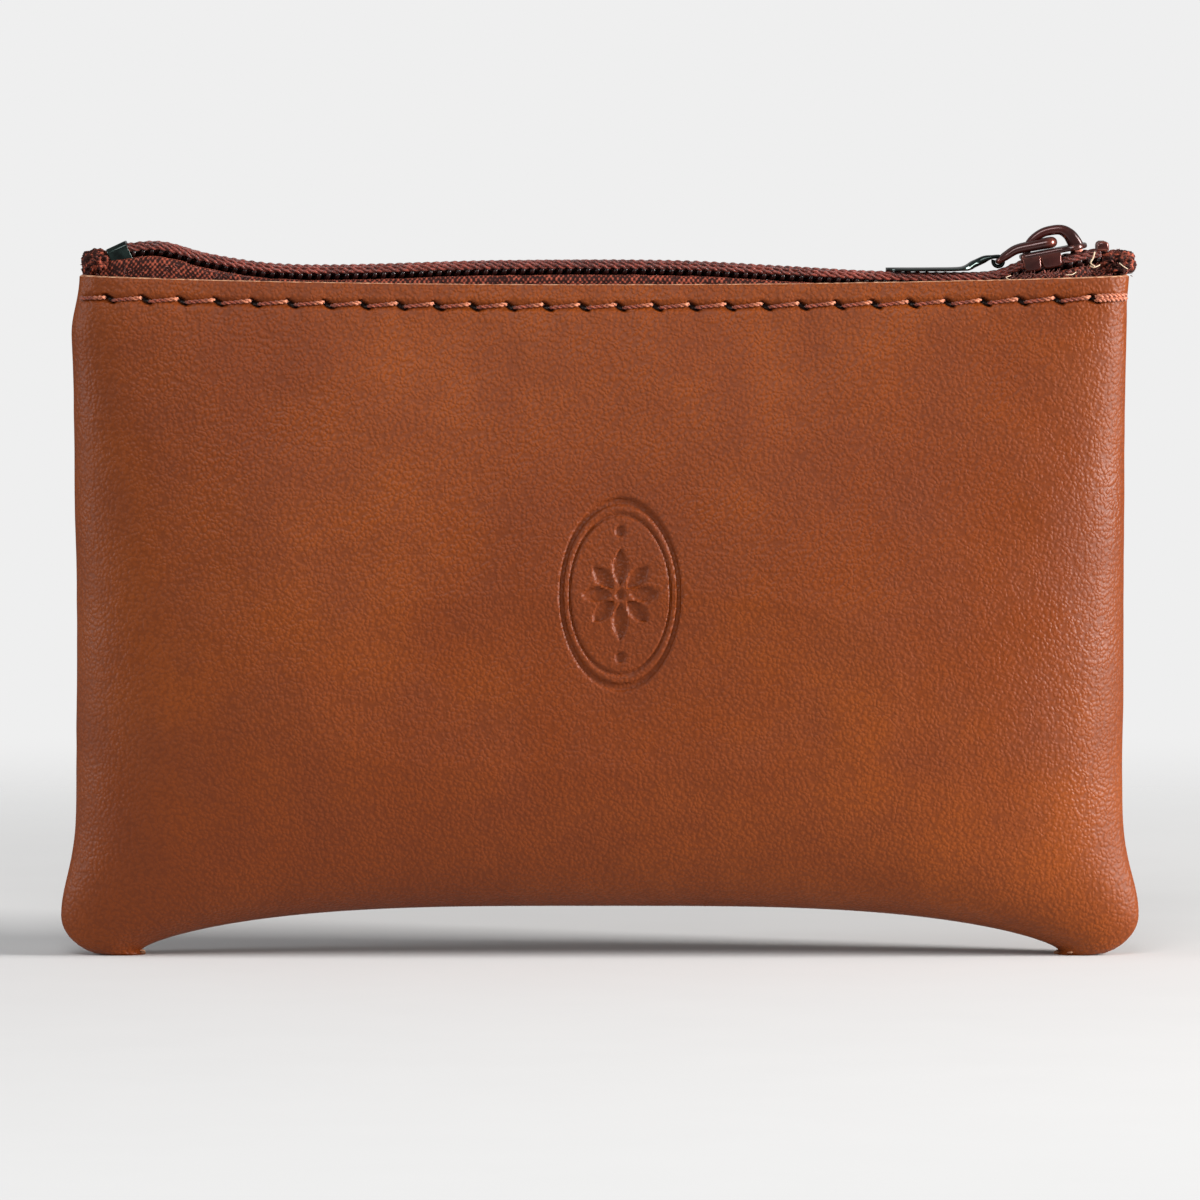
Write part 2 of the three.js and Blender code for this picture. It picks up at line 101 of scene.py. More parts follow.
OUTSIDE = {"wide": 0.0, "deep": 0.0, "low": 0.0, "drop": 0.0}
INSIDE = {"wide": 2.6, "deep": LEATHER, "low": LEATHER, "drop": 0.0}
LINING_OUT = {"wide": 3.1, "deep": 2.1, "low": 2.4, "drop": LINING_DROP}
LINING_IN = {"wide": 3.6, "deep": 2.1 + LINING, "low": 2.4 + LINING, "drop": LINING_DROP}


# ---- Small maths helpers ----
def smoothstep(value, low, high):
    t = np.clip((value - low) / (high - low), 0.0, 1.0)
    return t * t * (3 - 2 * t)


def squared(wave, power=0.75):
    """A sine or cosine with a squarer shape."""
    return np.sign(wave) * np.abs(wave) ** power


def value_noise(a, b, cell, seed):
    """Smooth noise from -1 to 1 over a plane, with one random value per cell."""
    p, q = np.asarray(a) / cell, np.asarray(b) / cell
    i, j = np.floor(p), np.floor(q)
    s, t = smoothstep(p - i, 0, 1), smoothstep(q - j, 0, 1)

    def corner(di, dj):
        h = np.sin((i + di) * 127.1 + (j + dj) * 311.7 + seed * 74.7) * 43758.5453
        return 2 * (h - np.floor(h)) - 1

    near = corner(0, 0) * (1 - s) + corner(1, 0) * s
    far = corner(0, 1) * (1 - s) + corner(1, 1) * s
    return near * (1 - t) + far * t


def spread(low, high, spacing):
    """Positions from low to high whose spacing follows a function of the position."""
    fine = np.linspace(low, high, 4000)
    share = np.concatenate([[0], np.cumsum(np.diff(fine) / spacing(fine[:-1]))])
    count = max(2, int(math.ceil(share[-1])))
    return np.interp(np.linspace(0, share[-1], count + 1), share, fine)


def height_along(points, x):
    """Height of a smooth curve through [x, z] points."""
    xs = np.array([p[0] for p in points], float)
    zs = np.array([p[1] for p in points], float)
    x = np.asarray(x, float)
    last = len(xs) - 2
    k = np.clip(np.searchsorted(xs, x, side="right") - 1, 0, last)
    before, after = np.maximum(k - 1, 0), np.minimum(k + 2, last + 1)
    x0, x1, z0, z1 = xs[k], xs[k + 1], zs[k], zs[k + 1]
    t = np.clip((x - x0) / (x1 - x0), 0, 1)
    slope0 = (z1 - zs[before]) / (x1 - xs[before]) * (x1 - x0)
    slope1 = (zs[after] - z0) / (xs[after] - x0) * (x1 - x0)
    t2, t3 = t * t, t * t * t
    start = (2 * t3 - 3 * t2 + 1) * z0 + (t3 - 2 * t2 + t) * slope0
    return start + (3 * t2 - 2 * t3) * z1 + (t3 - t2) * slope1


def spline(points, count):
    """Evenly stepped Catmull-Rom curve through points."""
    pts = np.asarray(points, float)
    last = len(pts) - 1
    out = []
    for t in np.linspace(0, last, count):
        k = min(int(t), last - 1)
        f = t - k
        a, b, c, d = pts[max(k - 1, 0)], pts[k], pts[k + 1], pts[min(k + 2, last)]
        square, cube = 2 * a - 5 * b + 4 * c - d, 3 * b - a - 3 * c + d
        out.append(0.5 * (2 * b + (c - a) * f + square * f**2 + cube * f**3))
    return np.array(out)


# ---- Shape of the body ----
def top_edge(x):
    return HEIGHT + TOP_RISE * (x / 60) ** 2


def bottom_edge(x):
    return ARCH * (1 - np.abs(x / ARCH_REACH) ** 3.4) - FOOT_SINK


def half_width(z):
    bulge = CORNER_BULGE * np.exp(-(((z - CORNER_RADIUS) / 6.5) ** 2))
    short = np.clip(1 - z / CORNER_RADIUS, 0, 1)
    return HALF_WIDTH + bulge + 0.5 * (z / HEIGHT) ** 6 - CORNER_RADIUS * (1 - np.sqrt(1 - short**2))


def half_depth(u, v, inset):
    out = np.minimum(np.abs(u), 1)
    v = np.clip(v, 0, 1)
    square = np.sqrt(np.maximum(1 - out ** (8 + 16 * v), 0))
    round_part = np.maximum(1 - out**4, 0) ** 0.6
    share = np.sqrt(v)
    puff = (BULGE / 0.433) * v**0.4 * (1 - v)
    roll = np.sqrt(1 - np.clip(1 - v / 0.03, 0, 1) ** 2)
    outer = inset["wide"] == 0
    seam = SEAM_EDGE * (roll if outer else square * share)
    skin = inset["deep"] * (square * share + round_part * (1 - share))
    depth = seam + (MOUTH_HALF - SEAM_EDGE) * square * share + puff * round_part - skin
    limit = BELLY_LIMIT - inset["deep"]
    return np.clip(depth, 0, limit)


def depth_at(x, z, inset=OUTSIDE):
    """Half depth of a skin of the body at a place on it."""
    low = bottom_edge(x) + inset["low"]
    v = (z - low) / (top_edge(x) - inset["drop"] - low)
    u = x / (half_width(z - inset["low"]) - inset["wide"])
    return half_depth(u * SEAM_U if inset["wide"] == 0 else u, v, inset)


# ---- Shape of the chain ----
CHAIN_TOP = [
    [-61, 80.9], [-56, 81.5], [-50.6, 82.0], [-45, 80.6], [-38, 79.5], [-30, 79.3], [-12, 79.8],
    [8, 79.8], [22, 79.1], [31, 78.6], [42, 78.45], [45.5, 78.7], [48.4, 79.75], [52.3, 80.27],
    [56.2, 81.03], [62, 81.2],
]


def chain_top(x):
    return height_along(CHAIN_TOP, x)


def coil_top(x):
    return chain_top(x) - 0.5


def tape_top(x):
    return coil_top(x) - COIL_HEIGHT - 0.25


def parting(x):
    """How far each coil is pushed aside in the slider's mouth."""
    return smoothstep(x, 51.2, 54.6)


# ---- Mesh helpers ----
def grid_faces(rows, columns, wrap_rows=False, wrap_columns=False):
    """Quads of a grid whose point (r, c) has the index r * columns + c."""
    r = np.arange(rows if wrap_rows else rows - 1)
    c = np.arange(columns if wrap_columns else columns - 1)
    r, c = np.meshgrid(r, c, indexing="ij")
    r2, c2 = (r + 1) % rows, (c + 1) % columns
    quads = np.stack([r * columns + c, r * columns + c2, r2 * columns + c2, r2 * columns + c], -1)
    return quads.reshape(-1, 4).tolist()


def tube_faces(rings, sides):
    """Faces of a stack of closed rings, with a cap at each end."""
    faces = grid_faces(rings, sides, wrap_columns=True)
    return faces + [list(range(sides))[::-1], list(range((rings - 1) * sides, rings * sides))]


def sheet_faces(rows, width):
    """Faces of a closed sheet whose rows run along one skin and back along the other."""
    faces = grid_faces(2 * rows, width, wrap_rows=True)
    for column, turn in ((0, 1), (width - 1, -1)):
        for j in range(rows - 1):
            ring = [r * width + column for r in (j, j + 1, 2 * rows - 2 - j, 2 * rows - 1 - j)]
            faces.append(ring[::turn])
    return faces


def path_normals(path):
    """Normals of a path in a plane, to its left."""
    tangent = np.gradient(path, axis=0)
    tangent /= np.linalg.norm(tangent, axis=1)[:, None]
    return np.stack([-tangent[:, 1], tangent[:, 0]], -1)


def join(parts):
    """One (points, faces) pair from several."""
    points, faces, first = [], [], 0
    for pts, fcs in parts:
        points.append(np.asarray(pts, float))
        faces += [[i + first for i in f] for f in fcs]
        first += len(pts)
    return np.concatenate(points), faces


def frames_along(path, closed=False):
    """Tangent, normal and side of a path, carried along it without twisting."""
    if closed:
        tangent = np.roll(path, -1, 0) - np.roll(path, 1, 0)
    else:
        tangent = np.gradient(path, axis=0)
    tangent /= np.linalg.norm(tangent, axis=1)[:, None]
    normal = np.zeros_like(path)
    start = np.array([0.0, 0.0, 1.0]) if abs(tangent[0][2]) < 0.9 else np.array([0.0, 1.0, 0.0])
    for i, t in enumerate(tangent):
        start = start - t * (start @ t)
        start = start / np.linalg.norm(start)
        normal[i] = start
    return tangent, normal, np.cross(tangent, normal)


def sweep(path, radius, sides, closed=False, ends=0.6):
    """A tube along a path. ends is the share of the radius left at its two ends."""
    path = np.asarray(path, float)
    count = len(path)
    radius = np.broadcast_to(np.asarray(radius, float), (count,)).copy()
    _, normal, side = frames_along(path, closed)
    if not closed:
        radius[0] *= ends
        radius[-1] *= ends
    angle = np.linspace(0, 2 * math.pi, sides, endpoint=False)
    c, s = np.cos(angle)[None, :, None], np.sin(angle)[None, :, None]
    points = path[:, None, :] + radius[:, None, None] * (c * normal[:, None, :] + s * side[:, None, :])
    faces = grid_faces(count, sides, True, True) if closed else tube_faces(count, sides)
    return points.reshape(-1, 3), faces


def two_ply(path, strand, pitch, sides=7, phase=0.0):
    """Two strands twisted round a path."""
    path = np.asarray(path, float)
    strand = np.broadcast_to(np.asarray(strand, float), (len(path),))
    _, normal, side = frames_along(path)
    along = np.concatenate([[0], np.cumsum(np.linalg.norm(np.diff(path, axis=0), axis=1))])
    made = []
    for turn in (0.0, math.pi):
        angle = along / pitch * 2 * math.pi + phase + turn
        offset = np.cos(angle)[:, None] * normal + np.sin(angle)[:, None] * side
        made.append(sweep(path + offset * (strand * 0.85)[:, None], strand, sides, ends=0.5))
    return join(made)


def in_scene(name, data):
    made = bpy.data.objects.new(name, data)
    bpy.context.scene.collection.objects.link(made)
    return made


def piece(name, shape, looks, body=None, replaces=None, sharp=None, indices=None):
    """A mesh object from (points in mm, faces), with its looks, each face's look, its body and the node it
    stands for.
    """
    points, faces = shape
    mesh = bpy.data.meshes.new(name)
    mesh.from_pydata((np.asarray(points, float) * MM).tolist(), [], faces)
    for look in looks:
        mesh.materials.append(look)
    if indices is not None:
        mesh.polygons.foreach_set("material_index", np.asarray(indices, np.int32))
    mesh.shade_smooth()
    if sharp is not None:
        mesh.set_sharp_from_angle(angle=math.radians(sharp))
    made = in_scene(name, mesh)
    if body:
        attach(made, body)
    if replaces:
        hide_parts(replaces)
    return made


def write_field(made, name, values):
    """Stores one value per vertex for the piece's material."""
    field = made.data.attributes.new(name, "FLOAT", "POINT")
    field.data.foreach_set("value", np.asarray(values, np.float32))


def outward(shape):
    """Turns a closed shape's faces over if they point inward."""
    points, faces = shape
    volume = 0.0
    for f in faces:
        a = points[f[0]]
        for k in range(1, len(f) - 1):
            volume += a @ np.cross(points[f[k]], points[f[k + 1]])
    return (points, faces) if volume > 0 else (points, [f[::-1] for f in faces])


def open_lip(made):
    """Bakes a piece's transform into its mesh and reads its points, without making the piece follow its
    lip.
    """
    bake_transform(made)
    co = np.zeros(len(made.data.vertices) * 3, np.float32)
    made.data.vertices.foreach_get("co", co)


# ---- Materials ----
def linear(red, green, blue):
    """Scene colour of 8-bit screen values."""
    screen = [c / 255 for c in (red, green, blue)]
    return tuple(c / 12.92 if c <= 0.04045 else ((c + 0.055) / 1.055) ** 2.4 for c in screen) + (1.0,)


def add(tree, kind, ins=None, **settings):
    """A shader node with its settings, constants and links."""
    made = tree.nodes.new("ShaderNode" + kind)
    for name, value in settings.items():
        setattr(made, name, value)
    for name, value in (ins or {}).items():
        if isinstance(value, bpy.types.NodeSocket):
            tree.links.new(value, made.inputs[name])
        else:
            made.inputs[name].default_value = value
    return made


def blend_colours(tree, factor, a, b):
    return add(tree, "Mix", {0: factor, 6: a, 7: b}, data_type="RGBA").outputs[2]


def math_node(tree, operation, *values):
    return add(tree, "Math", dict(enumerate(values)), operation=operation).outputs[0]


def remap(tree, value, low, high, new_low=0.0, new_high=1.0):
    ins = {"Value": value, "From Min": low, "From Max": high, "To Min": new_low, "To Max": new_high}
    return add(tree, "MapRange", ins, interpolation_type="SMOOTHSTEP").outputs["Result"]


def noise_of(tree, where, scale, detail=3.0, rough=0.55):
    ins = {"Vector": where, "Scale": scale, "Detail": detail, "Roughness": rough}
    return add(tree, "TexNoise", ins).outputs[0]


def start_look(name, rough, metal=0.0, specular=0.5, sheen=0.0, coat=(0.0, 0.03)):
    """A new material, its tree and object coordinates. coat is the weight and roughness of a clear coat."""
    material = bpy.data.materials.new(name)
    material.use_nodes = True
    tree = material.node_tree
    shader = tree.nodes["Principled BSDF"]
    shader.inputs["Roughness"].default_value = rough
    shader.inputs["Metallic"].default_value = metal
    shader.inputs["Specular IOR Level"].default_value = specular
    shader.inputs["Sheen Weight"].default_value = sheen
    shader.inputs["Coat Weight"].default_value, shader.inputs["Coat Roughness"].default_value = coat
    where = add(tree, "TexCoord").outputs["Object"]
    return material, tree, where


def attribute(tree, name):
    """A field that write_field stored."""
    return add(tree, "Attribute", attribute_name=name).outputs["Fac"]


def finish_look(material, base, height, strength, depth_mm, rough=None):
    """Links the colour, bumps as high as depth_mm, and the roughness where it varies."""
    tree = material.node_tree
    shader = tree.nodes["Principled BSDF"]
    tree.links.new(base, shader.inputs["Base Color"])
    bump = add(tree, "Bump", {"Height": height, "Strength": strength, "Distance": depth_mm * MM})
    tree.links.new(bump.outputs[0], shader.inputs["Normal"])
    if rough:
        tree.links.new(rough, shader.inputs["Roughness"])
    return material


def leather_look():
    """Smooth apple-tan leather: pebble grain, mottled finish, darker pores, a waxy sheen, and painted shade
    in the stitch holes.
    """
    material, tree, where = start_look("tan_leather", 0.46, specular=0.21)
    cloud = noise_of(tree, where, 30.0, 3.0)
    patch = noise_of(tree, where, 140.0, 4.0)
    speck = noise_of(tree, where, 2600.0, 2.0)
    warp = noise_of(tree, where, 700.0, 2.0)
    shift = add(tree, "VectorMath", {0: warp, "Scale": 0.6 * MM}, operation="SCALE").outputs[0]
    bent = add(tree, "VectorMath", {0: where, 1: shift}, operation="ADD").outputs[0]
    ins = {"Vector": bent, "Scale": 2300.0, "Smoothness": 0.35}
    cells = add(tree, "TexVoronoi", ins, feature="SMOOTH_F1").outputs["Distance"]
    pebble = remap(tree, cells, 0.75, 0.15)
    base = blend_colours(tree, remap(tree, cloud, 0.35, 0.68), linear(116, 51, 11), linear(130, 61, 14))
    base = blend_colours(tree, remap(tree, patch, 0.3, 0.75, 0.0, 0.45), base, linear(104, 45, 15))
    between = remap(tree, pebble, 0.0, 0.6, 0.34, 0.0)
    pores = math_node(tree, "MULTIPLY", between, remap(tree, speck, 0.3, 0.6, 0.15, 1.0))
    base = blend_colours(tree, pores, base, linear(78, 33, 12))
    # painted shade: the stitch holes are painted near black where they lie deep
    hole = attribute(tree, "hollow")
    base = blend_colours(tree, hole, base, linear(28, 10, 5))
    gloss = remap(tree, patch, 0.3, 0.7, 0.40, 0.52)
    grain = math_node(tree, "ADD", pebble, math_node(tree, "MULTIPLY", speck, 0.5))
    return finish_look(material, base, grain, 0.5, 0.10, gloss)


def raw_edge_look():
    """Cut edge of the leather: pale pinkish fibres."""
    material, tree, where = start_look("leather_cut_edge", 0.8)
    fibre = noise_of(tree, where, 1800.0, 4.0)
    base = blend_colours(tree, remap(tree, fibre, 0.35, 0.65), linear(140, 84, 54), linear(196, 148, 114))
    return finish_look(material, base, fibre, 0.5, 0.12)


def lining_look():
    """Plain woven dark brown cloth."""
    material, tree, where = start_look("lining_cloth", 0.85, sheen=0.25)
    place = add(tree, "SeparateXYZ", {0: where}).outputs
    turns = 2 * math.pi / (0.5 * MM)  # the threads lie half a millimetre apart
    warp = math_node(tree, "SINE", math_node(tree, "MULTIPLY", place[0], turns))
    rise = math_node(tree, "ADD", place[2], place[1])
    fill = math_node(tree, "SINE", math_node(tree, "MULTIPLY", rise, turns))
    weave = math_node(tree, "MULTIPLY", warp, fill)
    fuzz = noise_of(tree, where, 5200.0, 3.0)
    height = math_node(tree, "ADD", math_node(tree, "MULTIPLY", weave, 0.5), fuzz)
    base = blend_colours(tree, remap(tree, height, 0.1, 1.0), linear(42, 24, 16), linear(84, 54, 38))
    tree.nodes["Principled BSDF"].inputs["Sheen Roughness"].default_value = 0.4
    return finish_look(material, base, height, 0.6, 0.08)


def tape_look():
    """Woven polyester tape: dark ground, raised threads painted lighter as a painted highlight, with a
    random fuzz tone.
    """
    material, tree, where = start_look("tape_cloth", 0.75, specular=0.2)
    # painted highlight: the raised threads' height paints them lighter, and the ground between them stays
    # dark
    raised = attribute(tree, "raised")
    fuzz = noise_of(tree, where, 3600.0, 3.0)
    tone = math_node(tree, "ADD", remap(tree, raised, -0.6, 1.2), math_node(tree, "MULTIPLY", fuzz, 0.8))
    base = blend_colours(tree, remap(tree, tone, 0.55, 1.5), linear(44, 15, 10), linear(168, 82, 60))
    return finish_look(material, base, fuzz, 0.7, 0.10)


def fibre_look(name, dark, light, rough=0.6):
    """Spun thread: fine streaks with lighter and darker fibres."""
    material, tree, where = start_look(name, rough, sheen=0.2)
    streak = noise_of(tree, where, 4200.0, 4.0, 0.65)
    tone = noise_of(tree, where, 380.0, 2.0)
    fine, broad = math_node(tree, "MULTIPLY", streak, 0.7), math_node(tree, "MULTIPLY", tone, 0.3)
    mixed = math_node(tree, "ADD", fine, broad)
    base = blend_colours(tree, remap(tree, mixed, 0.36, 0.64), dark, light)
    return finish_look(material, base, streak, 0.5, 0.05)


def stitch_look():
    """Waxed rust thread, painted paler where a stitch rises before its hole: a painted highlight."""
    material, tree, where = start_look("rust_thread", 0.5, sheen=0.2)
    streak = noise_of(tree, where, 4200.0, 4.0, 0.65)
    # painted highlight: this field paints the thread lighter towards the end of each stitch
    pale = attribute(tree, "pale")
    share = remap(tree, streak, 0.36, 0.64)
    deep = blend_colours(tree, share, linear(92, 30, 12), linear(158, 66, 32))
    highlight_colour = blend_colours(tree, share, linear(142, 66, 36), linear(216, 134, 94))
    base = blend_colours(tree, pale, deep, highlight_colour)
    return finish_look(material, base, streak, 0.5, 0.05)


def glossy_look(name, dark, light, detail, rough, bump, metal=0.0, coat=(0.0, 0.03)):
    """Glossy surface with a soft mottle in its colour and in its gloss, from rough[0] to rough[1]."""
    material, tree, where = start_look(name, rough[0], metal, coat=coat)
    mark = noise_of(tree, where, 900.0, detail)
    base = blend_colours(tree, remap(tree, mark, 0.3, 0.7), dark, light)
    return finish_look(material, base, mark, bump, 0.03, remap(tree, mark, 0.3, 0.7, *rough))


def enamel_look():
    """Dark red-brown lacquer over metal, coppery along its sharp edges: rubbed-through lacquer and a
    painted edge highlight.
    """
    material, tree, where = start_look("brown_enamel", 0.22, metal=0.45, coat=(0.5, 0.12))
    # edge wear and painted highlight: sharp edges are painted coppery
    edge_wear_and_highlight = remap(tree, add(tree, "NewGeometry").outputs["Pointiness"], 0.53, 0.62)
    mark = noise_of(tree, where, 1300.0, 4.0)
    worn_and_highlit = math_node(tree, "MULTIPLY", edge_wear_and_highlight, remap(tree, mark, 0.3, 0.6, 0.35, 1.0))
    tone = noise_of(tree, where, 260.0, 2.0)
    base = blend_colours(tree, remap(tree, tone, 0.3, 0.7), linear(46, 15, 12), linear(72, 25, 20))
    base = blend_colours(tree, worn_and_highlit, base, linear(170, 92, 72))
    return finish_look(material, base, mark, 0.08, 0.03, remap(tree, mark, 0.3, 0.7, 0.2, 0.34))


LEATHER_SKIN = leather_look()
RAW_EDGE = raw_edge_look()
LINING_CLOTH = lining_look()
TAPE_CLOTH = tape_look()
COIL_NYLON = glossy_look("nylon_coil", linear(26, 10, 9), linear(52, 22, 19), 2.0, (0.22, 0.36), 0.15)
SEWING_YARN = fibre_look("zip_sewing_yarn", linear(46, 14, 10), linear(146, 62, 46), 0.3)
RUST_THREAD = stitch_look()
SEAM_THREAD = fibre_look("seam_thread", linear(70, 32, 18), linear(140, 76, 44))
FUZZ_YARN = fibre_look("frayed_yarn", linear(56, 18, 12), linear(150, 66, 46))
CREAM_YARN = fibre_look("cream_yarn", linear(170, 140, 108), linear(228, 208, 178))
ENAMEL = enamel_look()
GUNMETAL = glossy_look("black_green_metal", linear(20, 30, 28), linear(44, 60, 56), 4.0, (0.14, 0.28), 0.06,
                       metal=0.85, coat=(0.4, 0.08))


# ---- Leather ----
ORNAMENT_X, ORNAMENT_Z = 2.3, 42.0


def ornament(x, z):
    """Depth of the pressed ornament: a double oval round a plain eight-petalled rosette."""
    px, pz = x - ORNAMENT_X, z - ORNAMENT_Z
    oval = np.sqrt((px / 6.7) ** 2 + (pz / 10.6) ** 2)
    outer = 1 - smoothstep(np.abs(oval - 1.0) * 8.2, 0.22, 0.42)
    inner = 1 - smoothstep(np.abs(oval - 0.86) * 8.2, 0.08, 0.26)
    petals = np.zeros_like(px)
    for k in range(8):
        angle = k * math.pi / 4
        along = px * math.sin(angle) + pz * math.cos(angle)
        across = px * math.cos(angle) - pz * math.sin(angle)
        reach = 1.0 if k % 4 == 0 else 0.82
        t = np.clip((along - 1.0) / (4.2 * reach), 0, 1)
        width = 0.95 * np.sin(math.pi * t) ** 0.8
        inside = (t > 0) & (t < 1)
        petals = np.maximum(petals, np.where(inside, 1 - smoothstep(np.abs(across) - width, -0.22, 0.0), 0))
    centre = 1 - smoothstep(np.hypot(px, pz), 0.35, 0.7)
    small = np.zeros_like(px)
    for sign in (-1, 1):
        small = np.maximum(small, 1 - smoothstep(np.hypot(px, pz - sign * 7.2), 0.45, 0.7))
    return np.maximum.reduce([outer * 0.36, inner * 0.26, petals * 0.34, centre * 0.34, small * 0.3])


HOLES = np.linspace(FIRST_HOLE, LAST_HOLE, int(round((LAST_HOLE - FIRST_HOLE) / STITCH_PITCH)) + 1)


def hollow(x, z):
    """How deep a place lies in one of the slanted stitch holes, from 0 to 1."""
    nearest = HOLES[np.argmin(np.abs(np.asarray(x)[..., None] - HOLES), axis=-1)]
    dx = x - nearest
    dz = z - (top_edge(nearest) - STITCH_DROP)
    slanted = np.hypot((dx + 0.5 * dz) / 0.64, (dz + 0.35 * dx) / 0.5)
    return 1 - smoothstep(slanted, 0.65, 1.05)


def relief(x, z, side):
    """Height of the panel's surface detail: soft dents, stitch groove, holes and the ornament."""
    soft = 0.22 * value_noise(x, z, 19.0, 3 + side) + 0.08 * value_noise(x, z, 7.5, 8 + side)
    fine = 0.02 * value_noise(x, z, 2.4, 12 + side)
    away = np.abs(z - (top_edge(x) - STITCH_DROP))
    edge = smoothstep(top_edge(x) - z, 0.0, 6.0)
    groove = -0.30 * np.exp(-((away / 0.42) ** 2)) * (np.abs(x) < 59)
    pucker = 0.05 * np.cos((x - FIRST_HOLE) / STITCH_PITCH * 2 * math.pi) * np.exp(-((away / 2.0) ** 2))
    height = (soft + fine) * (0.25 + 0.75 * edge) + groove - pucker - 0.55 * hollow(x, z)
    if side < 0:
        height = height - ornament(x, z)
    return height


def panel_grid(columns, rows, side):
    """Outer skin of one panel: points, and how far each has rolled into the side seam."""
    s, v = np.meshgrid(columns, rows)
    flat_s = np.clip(s, -1, 1)
    roll = np.clip(np.abs(s) - 1, 0, 1) * math.pi / 2
    u = flat_s * (SEAM_U + (1 - SEAM_U) * np.clip(np.abs(s) - 1, 0, 1))
    low = bottom_edge(u * ARCH_REACH)
    z = np.maximum(low + (top_edge(u * ARCH_REACH) - low) * v, 0)
    full = half_width(z)
    valley = SEAM_VALLEY * smoothstep(z, 0, VALLEY_START)
    x = np.sign(s) * (np.abs(flat_s) * full - valley * (1 - np.cos(roll)))
    x = x + 1.1 * smoothstep(-x, 40.0, 60.0) * smoothstep(z, 71.0, 78.6)
    y = half_depth(flat_s * SEAM_U, v, OUTSIDE) * (1 - np.sin(roll))
    return np.stack([x, side * y, z], -1), roll / (math.pi / 2)


def grid_normals(grid, side):
    across = np.gradient(grid, axis=1)
    up = np.gradient(grid, axis=0)
    normal = np.cross(across, up)
    length = np.linalg.norm(normal, axis=-1, keepdims=True)
    normal = normal / np.maximum(length, 1e-9)
    return normal if side < 0 else -normal


def leather_panel(name, side, fine):
    """One leather panel from the bottom fold to its raw top edge, as a closed sheet."""
    bottom = ARCH - FOOT_SINK
    height = HEIGHT - bottom
    stitch_row = 74.9

    def column_spacing(s):
        x = s * HALF_WIDTH
        near_hole = np.min(np.abs(x[:, None] - HOLES), axis=1) < 0.75
        spacing = np.where(near_hole, 0.17, 0.62)
        if fine:
            spacing = np.where(np.abs(x - ORNAMENT_X) < 7.6, 0.17, np.minimum(spacing, 0.45))
        return spacing / HALF_WIDTH

    def row_spacing(v):
        z = bottom + v * height
        spacing = np.where(np.abs(z - stitch_row) < 1.2, 0.15, 0.62)
        if fine:
            spacing = np.where(np.abs(z - ORNAMENT_Z) < 11.6, 0.19, np.minimum(spacing, 0.45))
        return spacing / height

    flat = spread(-1, 1, column_spacing)
    seam = 1 + np.linspace(0, 1, 8)[1:]
    columns = np.concatenate([-seam[::-1], flat, seam])
    fold = 0.03 * (1 - np.cos(np.linspace(0, math.pi / 2, 10)))
    rows = np.concatenate([fold[:-1], spread(0.03, 1, row_spacing)])

    grid, rolled = panel_grid(columns, rows, side)
    normal = grid_normals(grid, side)
    x, z = grid[..., 0], grid[..., 2]
    calm = smoothstep(rows, 0.0, 0.08)[:, None] * (1 - smoothstep(rolled, 0.0, 0.6))
    outer = grid + normal * (relief(x, z, side) * calm)[..., None]
    outer[..., 2] = np.maximum(outer[..., 2], 0)

    thickness = LEATHER * (1 - 0.72 * rolled)
    thickness = thickness * (0.45 + 0.55 * smoothstep(rows, 0.0, 0.05))[:, None]
    inner = grid - normal * thickness[..., None]
    inner[..., 1] = side * np.maximum(side * inner[..., 1], 0.02)
    inner[..., 0] = grid[..., 0] + (inner[..., 0] - grid[..., 0]) * smoothstep(rows, 0.0, 0.08)[:, None]
    inner[..., 2] = np.maximum(inner[..., 2], grid[0, :, 2] + 0.25)
    kept = list(range(0, len(rows) - 1, 4)) + [len(rows) - 1]  # the inner skin has every fourth row

    top_out, top_in = outer[-1], inner[-1]
    rim = []
    for share, lift in ((0.12, 0.10), (0.35, 0.16), (0.65, 0.16), (0.88, 0.10)):
        row = top_out * (1 - share) + top_in * share
        rough = 0.05 * value_noise(row[:, 0], row[:, 1] * 0 + share * 9, 0.5, 21 + side)
        row[:, 2] += lift + rough
        rim.append(row)
    loop = list(outer) + rim + [inner[j] for j in reversed(kept)]
    width = len(columns)
    points = np.concatenate(loop)
    faces = grid_faces(len(loop), width, wrap_rows=True)
    skin_faces = (len(rows) - 1) * (width - 1)
    last = len(loop) - 1
    rings = [[*range(a, b + 1), last - k - 1, last - k] for k, (a, b) in enumerate(zip(kept, kept[1:]))]
    rings.append(range(len(rows) - 1, len(rows) + len(rim) + 1))
    for column, turn in ((0, 1), (width - 1, -1)):
        faces += [[j * width + column for j in ring][::turn] for ring in rings]
    looks = np.ones(len(faces), int)
    looks[:skin_faces] = 0
    if side > 0:
        faces = [f[::-1] for f in faces]
    made = piece(name, (points, faces), [LEATHER_SKIN, RAW_EDGE],
                 replaces="outer_shell", sharp=50, indices=looks)
    # how deep each point lies in a stitch hole, which the leather's material paints as shade
    painted_hole_shade = np.zeros(len(points))
    painted_hole_shade[:outer.shape[0] * width] = (hollow(x, z) * calm).reshape(-1)
    write_field(made, "hollow", painted_hole_shade)
    open_lip(made)


